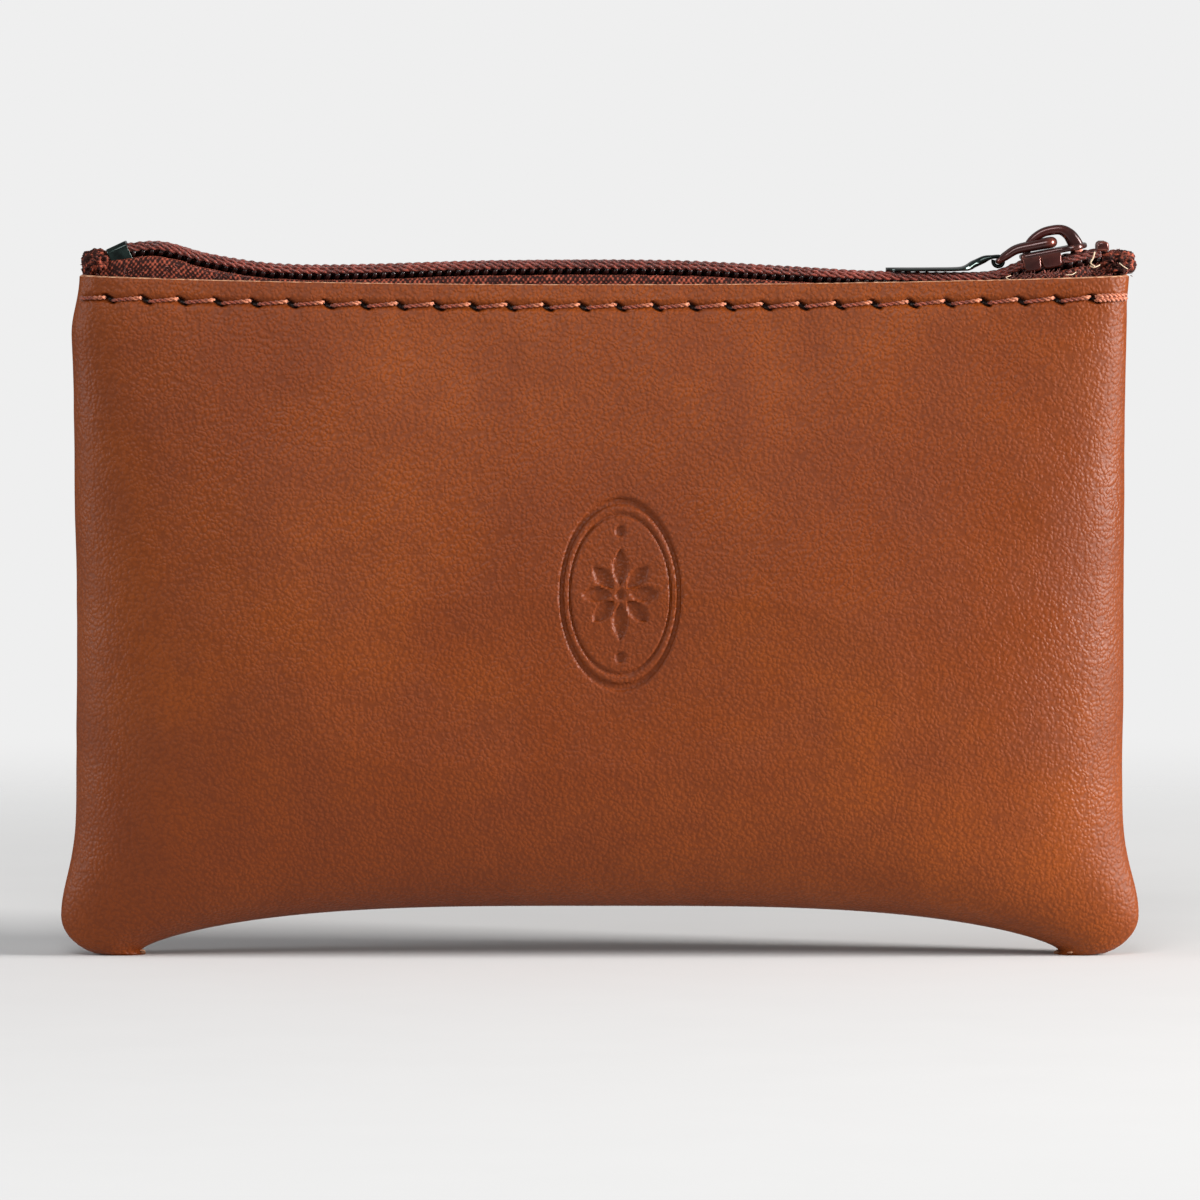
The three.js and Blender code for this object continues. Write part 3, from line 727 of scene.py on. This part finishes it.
def lining_panel(name, side):
    """One half of the lining bag, as a thin closed sheet."""
    columns, rows = np.linspace(-0.995, 0.995, 121), np.linspace(0, 1, 70) ** 1.4
    skins = []
    for inset in (LINING_OUT, LINING_IN):
        u, v = np.meshgrid(columns, rows)
        low = bottom_edge(u * ARCH_REACH) + inset["low"]
        z = np.maximum(low + (top_edge(u * ARCH_REACH) - inset["drop"] - low) * v, inset["low"])
        x = u * (half_width(z - inset["low"]) - inset["wide"])
        y = np.where(v == 0, 0, half_depth(u, v, inset))
        crumple = 0.12 * value_noise(x, z, 6.0, 31 + side) + 0.06 * value_noise(x, z, 2.5, 33 + side)
        y = np.maximum(y + crumple * np.minimum(y / 2, 1) * smoothstep(1 - v, 0, 0.05), 0.01)
        skins.append(np.stack([x, side * y, z], -1))
    outer, inner = skins
    faces = sheet_faces(len(rows), len(columns))
    shape = (np.concatenate([*outer, *inner[::-1]]), faces if side < 0 else [f[::-1] for f in faces])
    open_lip(piece(name, shape, [LINING_CLOTH], replaces="lining", sharp=60))


# ---- Zip ----
def tape_depth(x, z):
    return depth_at(x, np.minimum(z, top_edge(x)), INSIDE) - CLEARANCE


def zip_tape(name, side, node):
    """Woven tape: flat beside the coil, folded down over the leather's edge and hanging inside."""
    xs = np.arange(TAPE_LEFT, TAPE_RIGHT, 0.115)
    near = np.clip(xs, -HANG_END, HANG_END)
    ends = 1 - 0.35 * smoothstep(np.abs(xs), 56.5, 61.0)
    wide = (tape_depth(near, top_edge(near)) - TAPE / 2) * ends
    start = 0.35 + 0.6 * parting(xs)
    level = coil_top(xs) - COIL_HEIGHT - TAPE / 2 - 0.2
    fold = 0.4
    hang = 0.5 + (TAPE_HANG - 0.5) * (1 - smoothstep(np.abs(xs), 52.0, 57.0))
    rows = []
    for t in np.linspace(0, 1, 26):
        rows.append((start + (wide - fold - start) * t, level))
    for angle in np.linspace(0, math.pi / 2, 7)[1:]:
        rows.append((wide - fold + fold * math.sin(angle), level - fold * (1 - math.cos(angle))))
    foot = np.minimum(top_edge(near) + 1.0 * smoothstep(np.abs(xs), 56.5, 58.5), level - fold - 0.05)
    for t in np.linspace(0, 1, 19)[1:]:
        z = (level - fold) * (1 - t) + foot * t
        rows.append((wide + (tape_depth(near, foot) - TAPE / 2 - wide) * t * ends, z))
    for t in np.linspace(0, 1, 14)[1:]:
        z = foot - hang * t
        rows.append(((tape_depth(near, z) - TAPE / 2) * ends, z))
    middle = np.array([np.stack([xs, side * y, z], -1) for y, z in rows])
    normal = grid_normals(middle, side)
    steps = np.linalg.norm(np.diff(middle, axis=0), axis=-1)
    along = np.concatenate([np.zeros((1, len(xs))), np.cumsum(steps, axis=0)])
    row = np.floor(along / THREAD_ROW)
    rib = np.sin(2 * math.pi * xs / THREAD_GAP + math.pi * row)
    rib = rib * np.abs(np.sin(math.pi * along / THREAD_ROW))
    rib = 0.9 * rib + 0.6 * value_noise(middle[..., 0], along, 0.33, 51 + side)
    ripple = 0.06 * value_noise(middle[..., 0], along, 1.3, 41 + side)
    skin_a = middle + normal * (TAPE / 2 + 0.08 * rib + ripple)[..., None]
    skin_b = middle - normal * (TAPE / 2 + 0.04 * rib - ripple)[..., None]
    shape = outward((np.concatenate([*skin_a, *skin_b[::-1]]), sheet_faces(len(rows), len(xs))))
    made = piece(name, shape, [TAPE_CLOTH], replaces=node, sharp=80)
    # the threads' height, which the tape's material turns into a painted highlight
    write_field(made, "raised", np.concatenate([rib, rib[::-1]]).reshape(-1))
    open_lip(made)


def zip_coil(name, side, node):
    """Helical nylon coil whose loops pass the middle of the chain between those of the other side."""
    filament = 0.27
    height = COIL_HEIGHT + 0.15
    steps = 14
    turns = int((CHAIN_RIGHT - CHAIN_LEFT) / PITCH)
    t = np.arange(turns * steps + 1) / steps
    angle = 2 * math.pi * t
    whole = np.floor(t + 0.5)
    advance = whole - 1 + smoothstep(t + 0.5 - whole, 0.0, 0.45)
    x = CHAIN_LEFT + 0.4 + (PITCH / 2 if side > 0 else 0) + PITCH * (0.35 * t + 0.65 * advance)
    x = np.clip(x, CHAIN_LEFT, CHAIN_RIGHT)
    low, high = -TOOTH_REACH, CHAIN_HALF
    across = (low + high) / 2 + ((high - low) / 2 - filament) * squared(np.cos(angle))
    up = (height / 2 - filament) * squared(np.sin(angle))
    path = np.stack([x, side * (across + parting(x)), coil_top(x) - COIL_HEIGHT / 2 - 0.12 + up], -1)
    open_lip(piece(name, sweep(path, filament, 7), [COIL_NYLON], replaces=node))


def coil_core(name, side):
    """Cord inside the coil's loops."""
    x = np.linspace(CHAIN_LEFT + 0.3, CHAIN_RIGHT - 0.3, 500)
    path = np.stack([x, side * (0.95 + parting(x)), coil_top(x) - COIL_HEIGHT / 2], -1)
    open_lip(piece(name, two_ply(path, 0.13, 1.2, sides=5), [SEWING_YARN]))


def coil_sewing(name, side, node):
    """Twisted sewing yarn laid along the top of the coil."""
    x = np.linspace(CHAIN_LEFT, CHAIN_RIGHT - 1.2, 1200)
    rows = []
    for across, drop, phase in ((0.62, 0.26, 0.0), (1.12, 0.25, 1.1), (1.62, 0.40, 2.2), (1.86, 0.70, 3.3)):
        path = np.stack([x, side * (across + parting(x)), chain_top(x) - drop], -1)
        path[:, 2] += 0.05 * np.cos(2 * math.pi * (x - CHAIN_LEFT) / PITCH)
        rows.append(two_ply(path, 0.16, 2 * PITCH, phase=phase))
    open_lip(piece(name, join(rows), [SEWING_YARN], replaces=node))


# ---- Threads ----
def zip_stitches(name, side, node):
    """Row of slightly slanted two-ply stitches along the top edge, doubled at its right end."""
    made = []

    def stitch(xa, xb, rise, phase):
        t = np.linspace(0, 1, 22)
        x = xa + (xb - xa) * t
        z = top_edge(x) - STITCH_DROP + rise * (t - 0.5)
        dive = np.minimum(np.minimum(t, 1 - t) / 0.14, 1)
        height = 0.10 * np.sin(dive * math.pi / 2) - 0.62 * (1 - dive) ** 2
        base = depth_at(x, z) - 0.26 + 0.12 * smoothstep(t, 0.5, 0.9)
        path = np.stack([x, side * (base + height + 0.10), z], -1)
        made.append(two_ply(path, 0.12 + 0.012 * smoothstep(t, 0.4, 0.85), 1.3, phase=phase))

    for i, (a, b) in enumerate(zip(HOLES[:-1], HOLES[1:])):
        stitch(a + 0.3, b - 0.42, 0.4, 0.9 * i)
    stitch(HOLES[0] - 3.4, HOLES[0] - 0.42, 0.2, 0.4)
    for shift, phase in ((0.22, 0.0), (-0.2, 1.7)):
        x = np.linspace(HOLES[-1] + 0.1, 60.3, 20)
        z = top_edge(x) - STITCH_DROP + shift
        dive = np.clip((x - HOLES[-1] - 0.1) / 0.5, 0, 1)
        base = depth_at(x, z) - 0.1 - 0.5 * (1 - dive) ** 2
        path = np.stack([x, side * (base + 0.12), z], -1)
        made.append(two_ply(path, 0.16, 1.1, phase=phase))
    points, faces = join(made)
    made_piece = piece(name, (points, faces), [RUST_THREAD], replaces=node)
    # painted highlight: each stitch is painted paler towards its far hole, and the doubled stitches at the
    # right end are painted paler throughout
    share = ((points[:, 0] - FIRST_HOLE) / (HOLES[1] - HOLES[0])) % 1.0
    pale = np.where(points[:, 0] > LAST_HOLE, 0.75, smoothstep(share, 0.45, 0.85))
    write_field(made_piece, "pale", pale)
    open_lip(made_piece)


def seam_stitches(name, side, node):
    """Stitches that show in the groove of a side seam."""
    made = []
    for i, low in enumerate(np.arange(7.0, 73.0, SEAM_PITCH)):
        t = np.linspace(0, 1, 14)
        z = low + 2.5 * t
        x = half_width(z) - SEAM_VALLEY * smoothstep(z, 0, VALLEY_START) + 0.32
        x = x - 0.75 * (1 - np.minimum(np.minimum(t, 1 - t) / 0.18, 1)) ** 2
        path = np.stack([side * x, 0.12 * np.sin(3 * t + i), z], -1)
        made.append(two_ply(path, 0.16, 1.2, phase=i * 0.8, sides=6))
    piece(name, join(made), [SEAM_THREAD], body="pouch", replaces=node)


# ---- Frayed tape ends ----
def fibres(count, seed, place, length, radius):
    """Loose curved fibres. place(rng) gives a start and a direction."""
    rng = np.random.default_rng(seed)
    made = []
    for _ in range(count):
        start, direction = place(rng)
        direction = np.asarray(direction, float) / np.linalg.norm(direction)
        reach = rng.uniform(*length)
        curl = rng.normal(0, 0.45, 3)
        t = np.linspace(0, 1, 6)[:, None]
        path = np.asarray(start) + direction * reach * t + curl * reach * t**2 * 0.5
        path[:, 2] -= 0.5 * reach * (t[:, 0] ** 2) * 0.2
        made.append(sweep(path, rng.uniform(*radius), 4, ends=0.4))
    return join(made)


def lump(centre, size, seed):
    """A rounded, crumpled end of folded tape."""
    theta = np.linspace(-math.pi / 2, math.pi / 2, 40)
    phi = np.linspace(0, 2 * math.pi, 72, endpoint=False)
    a, b = np.meshgrid(theta, phi, indexing="ij")
    wide = squared(np.cos(a))
    unit = np.stack([wide * squared(np.cos(b)), squared(np.sin(a)), wide * squared(np.sin(b))], -1)
    weave = 0.06 * np.sin(a * 26) * np.sin(b * 20)
    crumple = 0.14 * value_noise(unit[..., 0] * 3 + 5, unit[..., 1] * 3 + unit[..., 2] * 4, 0.7, seed)
    points = np.array(centre) + unit * np.array(size) * (1 + (crumple + weave))[..., None]
    return outward((points.reshape(-1, 3), tube_faces(len(theta), len(phi))))


LEFT_END, LEFT_SIZE = (-57.7, 0.0, 79.4), (1.75, 3.1, 1.6)
RIGHT_END, RIGHT_SIZE = (59.0, 0.0, 79.55), (2.35, 3.3, 1.4)


def tape_ends():
    """The folded ends of the tapes, the fibres that stand out of them, and a few pale threads."""
    points, faces = join([lump(LEFT_END, LEFT_SIZE, 3), lump(RIGHT_END, RIGHT_SIZE, 5)])
    made = piece("folded_tape_ends", (points, faces), [TAPE_CLOTH], body="pouch")
    # noise takes the place of thread heights on the lumps, painted lighter by the same painted highlight
    threads = value_noise(points[:, 0] + points[:, 1] * 0.4, points[:, 2] + points[:, 1] * 0.7, 0.22, 77)
    write_field(made, "raised", 1.4 * threads)

    def on_lump(centre, size):
        def place(rng):
            d = rng.normal(0, 1, 3)
            d /= np.linalg.norm(d)
            d[1] = -abs(d[1]) if rng.random() < 0.7 else d[1]
            return np.array(centre) + d * np.array(size) * 0.92, d + rng.normal(0, 0.5, 3)
        return place

    def on_tape(left, right, foot, push, rise):
        def place(rng):
            x = rng.uniform(left, right)
            share = rng.random()
            near = min(max(x, -HANG_END), HANG_END)
            y = 0.1 - float(tape_depth(near, top_edge(near)))
            z = foot + (float(tape_top(x)) - foot) * share
            return (x, y, z), (rng.normal(0, 1), push, rng.normal(rise, 0.8))
        return place

    dark = [
        fibres(150, 11, on_lump(LEFT_END, LEFT_SIZE), (0.15, 0.45), (0.03, 0.055)),
        fibres(240, 12, on_lump(RIGHT_END, RIGHT_SIZE), (0.2, 0.55), (0.03, 0.055)),
        fibres(240, 13, on_tape(46, 61, 78.1, -0.5, 0.3), (0.3, 0.8), (0.03, 0.05)),
        fibres(120, 14, on_tape(-59, -40, 78.0, -0.4, 0.2), (0.25, 0.6), (0.025, 0.045)),
    ]
    piece("frayed_fibres", join(dark), [FUZZ_YARN], body="pouch")
    loose = (
        (0.09, 12, [(56.6, -3.7, 80.9), (56.4, -4.1, 80.2), (56.1, -4.2, 79.6), (56.6, -4.3, 79.2)]),
        (0.07, 10, [(57.2, -3.9, 79.4), (56.5, -4.2, 79.1), (56.0, -4.2, 79.3)]),
        (0.06, 10, [(59.4, -3.3, 79.6), (59.9, -3.6, 79.2), (60.4, -3.5, 78.9)]),
        (0.05, 10, [(54.5, -3.9, 78.6), (54.0, -4.4, 78.3), (53.2, -4.6, 78.25)]),
        (0.04, 10, [(47.0, -4.4, 78.2), (46.4, -5.0, 77.95), (46.9, -5.4, 77.7)]),
    )
    loose = [sweep(spline(points, count), radius, 6) for radius, count, points in loose]
    piece("loose_cream_threads", join(loose), [CREAM_YARN], body="pouch")


# ---- Metal pieces ----
def slab(outline, low, high, bevel, plane="xy"):
    """A closed solid over an outline, with rounded edges. plane names the outline's two axes."""
    outline = np.asarray(outline, float)
    edge = np.roll(outline, -1, 0) - np.roll(outline, 1, 0)
    edge /= np.linalg.norm(edge, axis=1)[:, None]
    inward = np.stack([-edge[:, 1], edge[:, 0]], -1)
    area = np.sum(outline[:, 0] * np.roll(outline[:, 1], -1) - np.roll(outline[:, 0], -1) * outline[:, 1])
    if area < 0:
        inward = -inward
    arc = np.linspace(0, math.pi / 2, 4)
    levels = [(a, low + bevel * (1 - math.cos(a))) for a in arc]
    levels += [(a, high - bevel * (1 - math.cos(a))) for a in arc[::-1]]
    stack = []
    for a, level in levels:
        ring = outline + inward * bevel * (1 - math.sin(a))
        third = np.full(len(ring), level)
        order = (ring[:, 0], ring[:, 1], third) if plane == "xy" else (ring[:, 0], third, ring[:, 1])
        stack.append(np.stack(order, -1))
    return outward((np.concatenate(stack), tube_faces(len(stack), len(outline))))


def bezier(a, b, c, count=6):
    t = np.linspace(0, 1, count)[:, None]
    return (1 - t) ** 2 * np.array(a) + 2 * t * (1 - t) * np.array(b) + t**2 * np.array(c)


def band(line, half_width, half_thick, sides=28):
    """A strip with a rounded section, bent along a line of (x, z) points and centred on y = 0."""
    normal = path_normals(line)
    angle = np.linspace(0, 2 * math.pi, sides, endpoint=False)
    c, s = np.cos(angle), np.sin(angle)
    power = 3.0  # the section is between an ellipse and a rectangle
    radius = (np.abs(c) ** power + np.abs(s) ** power) ** (-1 / power)
    y = np.broadcast_to(half_width * (radius * c), (len(line), sides))
    lift = half_thick[:, None] * (radius * s)
    x = line[:, :1] + normal[:, :1] * lift
    z = line[:, 1:] + normal[:, 1:] * lift
    return outward((np.stack([x, y, z], -1).reshape(-1, 3), tube_faces(len(line), sides)))


def plate_outline(rear, front):
    """Outline of a slider plate: narrow and square behind, shouldered and rounded in front."""
    half = SLIDER_HALF
    side = np.concatenate([
        bezier((-half, -rear + 0.7), (-half, -rear), (-half + 0.7, -rear)),
        [(-1.2, -rear), (0.3, -rear)],
        bezier((0.4, -rear), (1.5, -rear), (2.2, -front)),
        bezier((2.3, -front), (half, -front), (half, -0.2), 9),
    ])
    return np.concatenate([side, side[::-1] * np.array([1, -1])])


def tilted(points, angle, x, y, z):
    """Points turned about the depth axis and moved."""
    c, s = math.cos(angle), math.sin(angle)
    return np.stack([x + points[:, 0] * c - points[:, 2] * s, y + points[:, 1],
                     z + points[:, 0] * s + points[:, 2] * c], -1)


def placed(shape):
    """A shape moved from the slider's own frame into the model's."""
    points, faces = shape
    return tilted(points, SLIDER_TILT, SLIDER_X, 0, SLIDER_Z), faces


def slider_body():
    """Two plates with walls and a nose between them, and the bridge on top."""
    upper = slab(plate_outline(REAR_HALF, FRONT_HALF), PLATE + CHANNEL, BODY_TOP, 0.22)
    lower = slab(plate_outline(1.9, 1.91), 0.0, PLATE, 0.15)
    walls = []
    for side in (-1, 1):
        y = sorted((side * (REAR_HALF - 0.57), side * (REAR_HALF - 0.02)))
        for start, end in ((-3.7, -1.75), (-1.6, 0.62)):
            low = 1.75
            outline = np.concatenate([
                bezier((start, low + 0.6), (start, low), (start + 0.6, low)),
                bezier((end - 0.6, low), (end, low), (end, low + 0.6)),
                [(end + 0.1, 3.6), (start - 0.1, 3.6)],
            ])
            walls.append(slab(outline, y[0], y[1], 0.24, plane="xz"))
    nose = [(2.4, -0.5), (3.3, 0.0), (2.4, 0.5), (1.9, 0.0)]
    post = slab(nose, 0.3, BODY_TOP - 0.3, 0.08)
    arch = [(-3.1, -0.35), (-2.95, 0.5), (-2.15, 1.4), (-0.9, 1.98), (0.3, 2.08), (1.35, 1.9), (2.1, 1.25)]
    middle = spline([*arch, (2.5, 0.4), (2.7, -0.35)], 60)
    thick = np.interp(np.linspace(0, 1, 60), [0, 0.35, 0.6, 0.8, 1], [0.46, 0.52, 0.58, 0.78, 0.9])
    middle[:, 1] += BODY_TOP
    bridge = band(middle, 0.9, thick)
    shape = placed(join([upper, lower, *walls, post, bridge]))
    piece("slider", shape, [ENAMEL], body="slider", replaces="slider_body", sharp=40)


def pull_link():
    """Bent loop: one bar under the slider's bridge, the other inside the pull tab."""
    half = 2.1 - 0.45
    line = spline([(-0.05, 4.6), (-2.2, 4.6), (-4.1, 4.55), (-5.3, 4.12), (-6.45, 3.6)], 40)
    near = [(x, -half, z) for x, z in line]
    far = [(x, half, z) for x, z in line[::-1]]
    start = [(0.0, y, 4.6) for y in np.linspace(half - 0.4, -half + 0.4, 8)]
    end = [(line[-1][0], y, line[-1][1]) for y in np.linspace(-half + 0.35, half - 0.35, 12)]
    loop = np.array(start + near[1:-1] + end + far[1:-1])
    for _ in range(3):
        loop = (np.roll(loop, 1, 0) + 2 * loop + np.roll(loop, -1, 0)) / 4
    thick = np.interp(loop[:, 0], [-6.45, -5.6, -3.5, -1.5, 0.2], [0.31, 0.44, 0.54, 0.6, 0.64])
    shape = placed(sweep(loop, thick, 14, closed=True))
    piece("pull_link_loop", shape, [ENAMEL], body="pull_link", replaces="pull_link")


def pull_tab():
    """Thin plated tab curled round the link's bar."""
    half_thick, curl_radius, reach = 0.225, 0.57, 12.9
    line = [(-0.1, curl_radius), (-1.2, 0.4), (-2.7, -0.25), (-4.1, -0.82), (-8, -0.92), (-reach, -0.92)]
    turn = np.linspace(-math.radians(200), math.radians(85), 26)
    curl = [(curl_radius * math.cos(a), curl_radius * math.sin(a)) for a in turn]
    path = np.array([*curl, *spline(line, 60)[2:]])
    normal = path_normals(path)
    x = path[:, 0]
    blade = np.arange(len(path)) >= len(curl)
    shoulder = smoothstep(-x, 1.9, 4.2) * blade
    tip = np.clip((x + reach) / 2.2, 0, 1)
    round_tip = np.where(blade, np.sqrt(np.maximum(1 - (1 - tip) ** 2, 0.02)), 1.0)
    half = (0.95 + (2.5 - 0.95) * shoulder) * round_tip
    across = np.linspace(-1, 1, 15)
    stout = half_thick + 0.2 * smoothstep(-x, 0.6, 1.8) * (1 - smoothstep(-x, 3.0, 4.4)) * blade
    section = np.sqrt(1 - np.minimum(np.abs(across), 0.985) ** 5)
    lift = stout[:, None] * np.concatenate([section, -section])
    x, z = (path[:, k, None] + normal[:, k, None] * lift for k in (0, 1))
    points = np.stack([x, half[:, None] * np.concatenate([across, across[::-1]]), z], -1)
    faces = tube_faces(*points.shape[:2])
    shape = outward((points.reshape(-1, 3) + np.array([TAB_X, 0, TAB_Z]), faces))
    piece("pull_tab_blade", shape, [GUNMETAL], body="pull_tab", replaces="pull_tab", sharp=50)


def mirrored(points):
    """The same outline points on the other side, in the opposite order."""
    return [(-x, z) for x, z in points[::-1]]


def bottom_stop():
    """Bent staple over the closed end of the chain."""
    half, top, low, inner, x = 2.42, 1.02, -1.45, 0.42, -55.1
    outside = [(-half, low), (-half, top - 0.45), (-half + 0.4, top)]
    inside = [(-half + inner, top - inner), (-half + inner, low)]
    outline = outside + mirrored(outside) + mirrored(inside) + inside
    corners = []
    for a, b in zip(outline, outline[1:] + outline[:1]):
        corners += [tuple(np.array(a) + (np.array(b) - np.array(a)) * t) for t in (0.04, 0.5, 0.96)]
    points, faces = slab(corners, -1.2, 1.2, 0.1)
    points = np.stack([points[:, 2], points[:, 0], points[:, 1]], -1)
    points = tilted(points, math.radians(25), x, 0, float(coil_top(x)) - 0.45)
    piece("bottom_stop_staple", outward((points, faces)), [GUNMETAL], body="pouch",
          replaces="bottom_stop", sharp=45)


def top_stop(name, side, node):
    """Enamelled clamp at the right end of one coil."""
    half = [(-0.68, 0.0), (-0.68, 0.6), (-0.58, 0.9), (-0.3, 1.08)]
    outline = half + mirrored(half)
    points, faces = slab(outline, -0.85, 0.85, 0.28, plane="xz")
    points = points + np.array([57.6, side * 2.1, float(coil_top(57.5)) + 0.35])
    piece(name, (points, faces), [ENAMEL], body="pouch", replaces=node, sharp=60)


# ---- Stage ----
BACKGROUND = linear(239, 239, 239)


def studio():
    """Pale floor that fades into the background, and soft lights."""
    scene = bpy.context.scene
    scene.view_settings.view_transform = "Standard"
    scene.view_settings.look = "None"
    world = bpy.data.worlds.new("studio")
    scene.world = world
    world.use_nodes = True
    tree = world.node_tree
    tree.nodes.clear()
    seen = add(tree, "Background", {"Color": BACKGROUND, "Strength": 1.0})
    ambient = add(tree, "Background", {"Color": (1.0, 1.0, 1.0, 1.0), "Strength": 0.26})
    path = add(tree, "LightPath")
    sees = path.outputs["Is Camera Ray"]
    both = add(tree, "MixShader", {0: sees, 1: ambient.outputs[0], 2: seen.outputs[0]})
    tree.links.new(both.outputs[0], add(tree, "OutputWorld").inputs["Surface"])

    rings, sides = np.concatenate([[0.0], np.linspace(0.05, 0.62, 12)]), 64
    turns = np.linspace(0, 2 * math.pi, sides, endpoint=False)
    points = [(r * math.cos(a), r * math.sin(a), 0.0) for r in rings for a in turns]
    faces = grid_faces(len(rings), sides, wrap_columns=True)
    mesh = bpy.data.meshes.new("floor")
    mesh.from_pydata(points, [], faces)
    floor = in_scene("floor", mesh)
    floor.location.z = -0.00002
    material = bpy.data.materials.new("pale_floor")
    material.use_nodes = True
    tree = material.node_tree
    tree.nodes.clear()
    where = add(tree, "TexCoord").outputs["Object"]
    away = add(tree, "VectorMath", {0: where}, operation="LENGTH").outputs["Value"]
    grain = noise_of(tree, where, 60.0, 2.0)
    tone = blend_colours(tree, grain, (0.63, 0.63, 0.63, 1), (0.65, 0.65, 0.65, 1))
    plain = add(tree, "BsdfDiffuse", {"Color": tone})
    clear = add(tree, "BsdfTransparent")
    fade = remap(tree, away, 0.10, 0.40)
    both = add(tree, "MixShader", {0: fade, 1: plain.outputs[0], 2: clear.outputs[0]})
    tree.links.new(both.outputs[0], add(tree, "OutputMaterial").inputs["Surface"])
    mesh.materials.append(material)

    def soft_box(name, place, size, power, colour=(1, 1, 1)):
        light = bpy.data.lights.new(name, "AREA")
        light.shape = "RECTANGLE"
        light.size, light.size_y = size
        light.energy = power
        light.color = colour
        lamp = in_scene(name, light)
        lamp.location = place
        lamp.rotation_euler = (Vector((0, 0, 0.04)) - Vector(place)).to_track_quat("-Z", "Y").to_euler()

    soft_box("key", (-0.2, -1.05, 0.85), (0.7, 0.5), 7.5)
    soft_box("right_side", (0.95, -0.25, 0.30), (0.3, 0.6), 24.0, (1.0, 0.98, 0.96))
    soft_box("left_fill", (-0.95, -0.15, 0.30), (0.3, 0.6), 4.5, (0.94, 0.97, 1.0))


def camera():
    """Straight in front and slightly above, seeing a little more than the pouch's width."""
    elevation = math.radians(3.0)
    distance, view_width = 1.2, 0.13793
    aim = Vector((0, 0, 0.0408))
    view = bpy.data.cameras.new("camera")
    view.sensor_width = 36.0
    view.lens = view.sensor_width * distance / view_width
    made = in_scene("camera", view)
    made.location = aim + Vector((0, -distance * math.cos(elevation), distance * math.sin(elevation)))
    made.rotation_euler = (aim - made.location).to_track_quat("-Z", "Y").to_euler()
    bpy.context.scene.camera = made


# ---- Build ----
camera()
studio()
for prefix, way in (("front", -1), ("back", 1)):
    leather_panel(f"leather_{prefix}", way, fine=way < 0)
    lining_panel(f"lining_{prefix}", way)
    zip_tape(f"{prefix}_tape", way, f"{prefix}_zip_tape")
    zip_coil(f"{prefix}_coil_helix", way, f"{prefix}_coil")
    coil_core(f"{prefix}_coil_core", way)
    coil_sewing(f"{prefix}_sewing_yarn", way, f"{prefix}_coil_sewing")
    zip_stitches(f"{prefix}_top_stitches", way, f"{prefix}_zip_thread")
    top_stop(f"{prefix}_stop", way, f"{prefix}_top_stop")
seam_stitches("left_seam_stitches", -1, "left_seam_thread")
seam_stitches("right_seam_stitches", 1, "right_seam_thread")
tape_ends()
slider_body()
pull_link()
pull_tab()
bottom_stop()
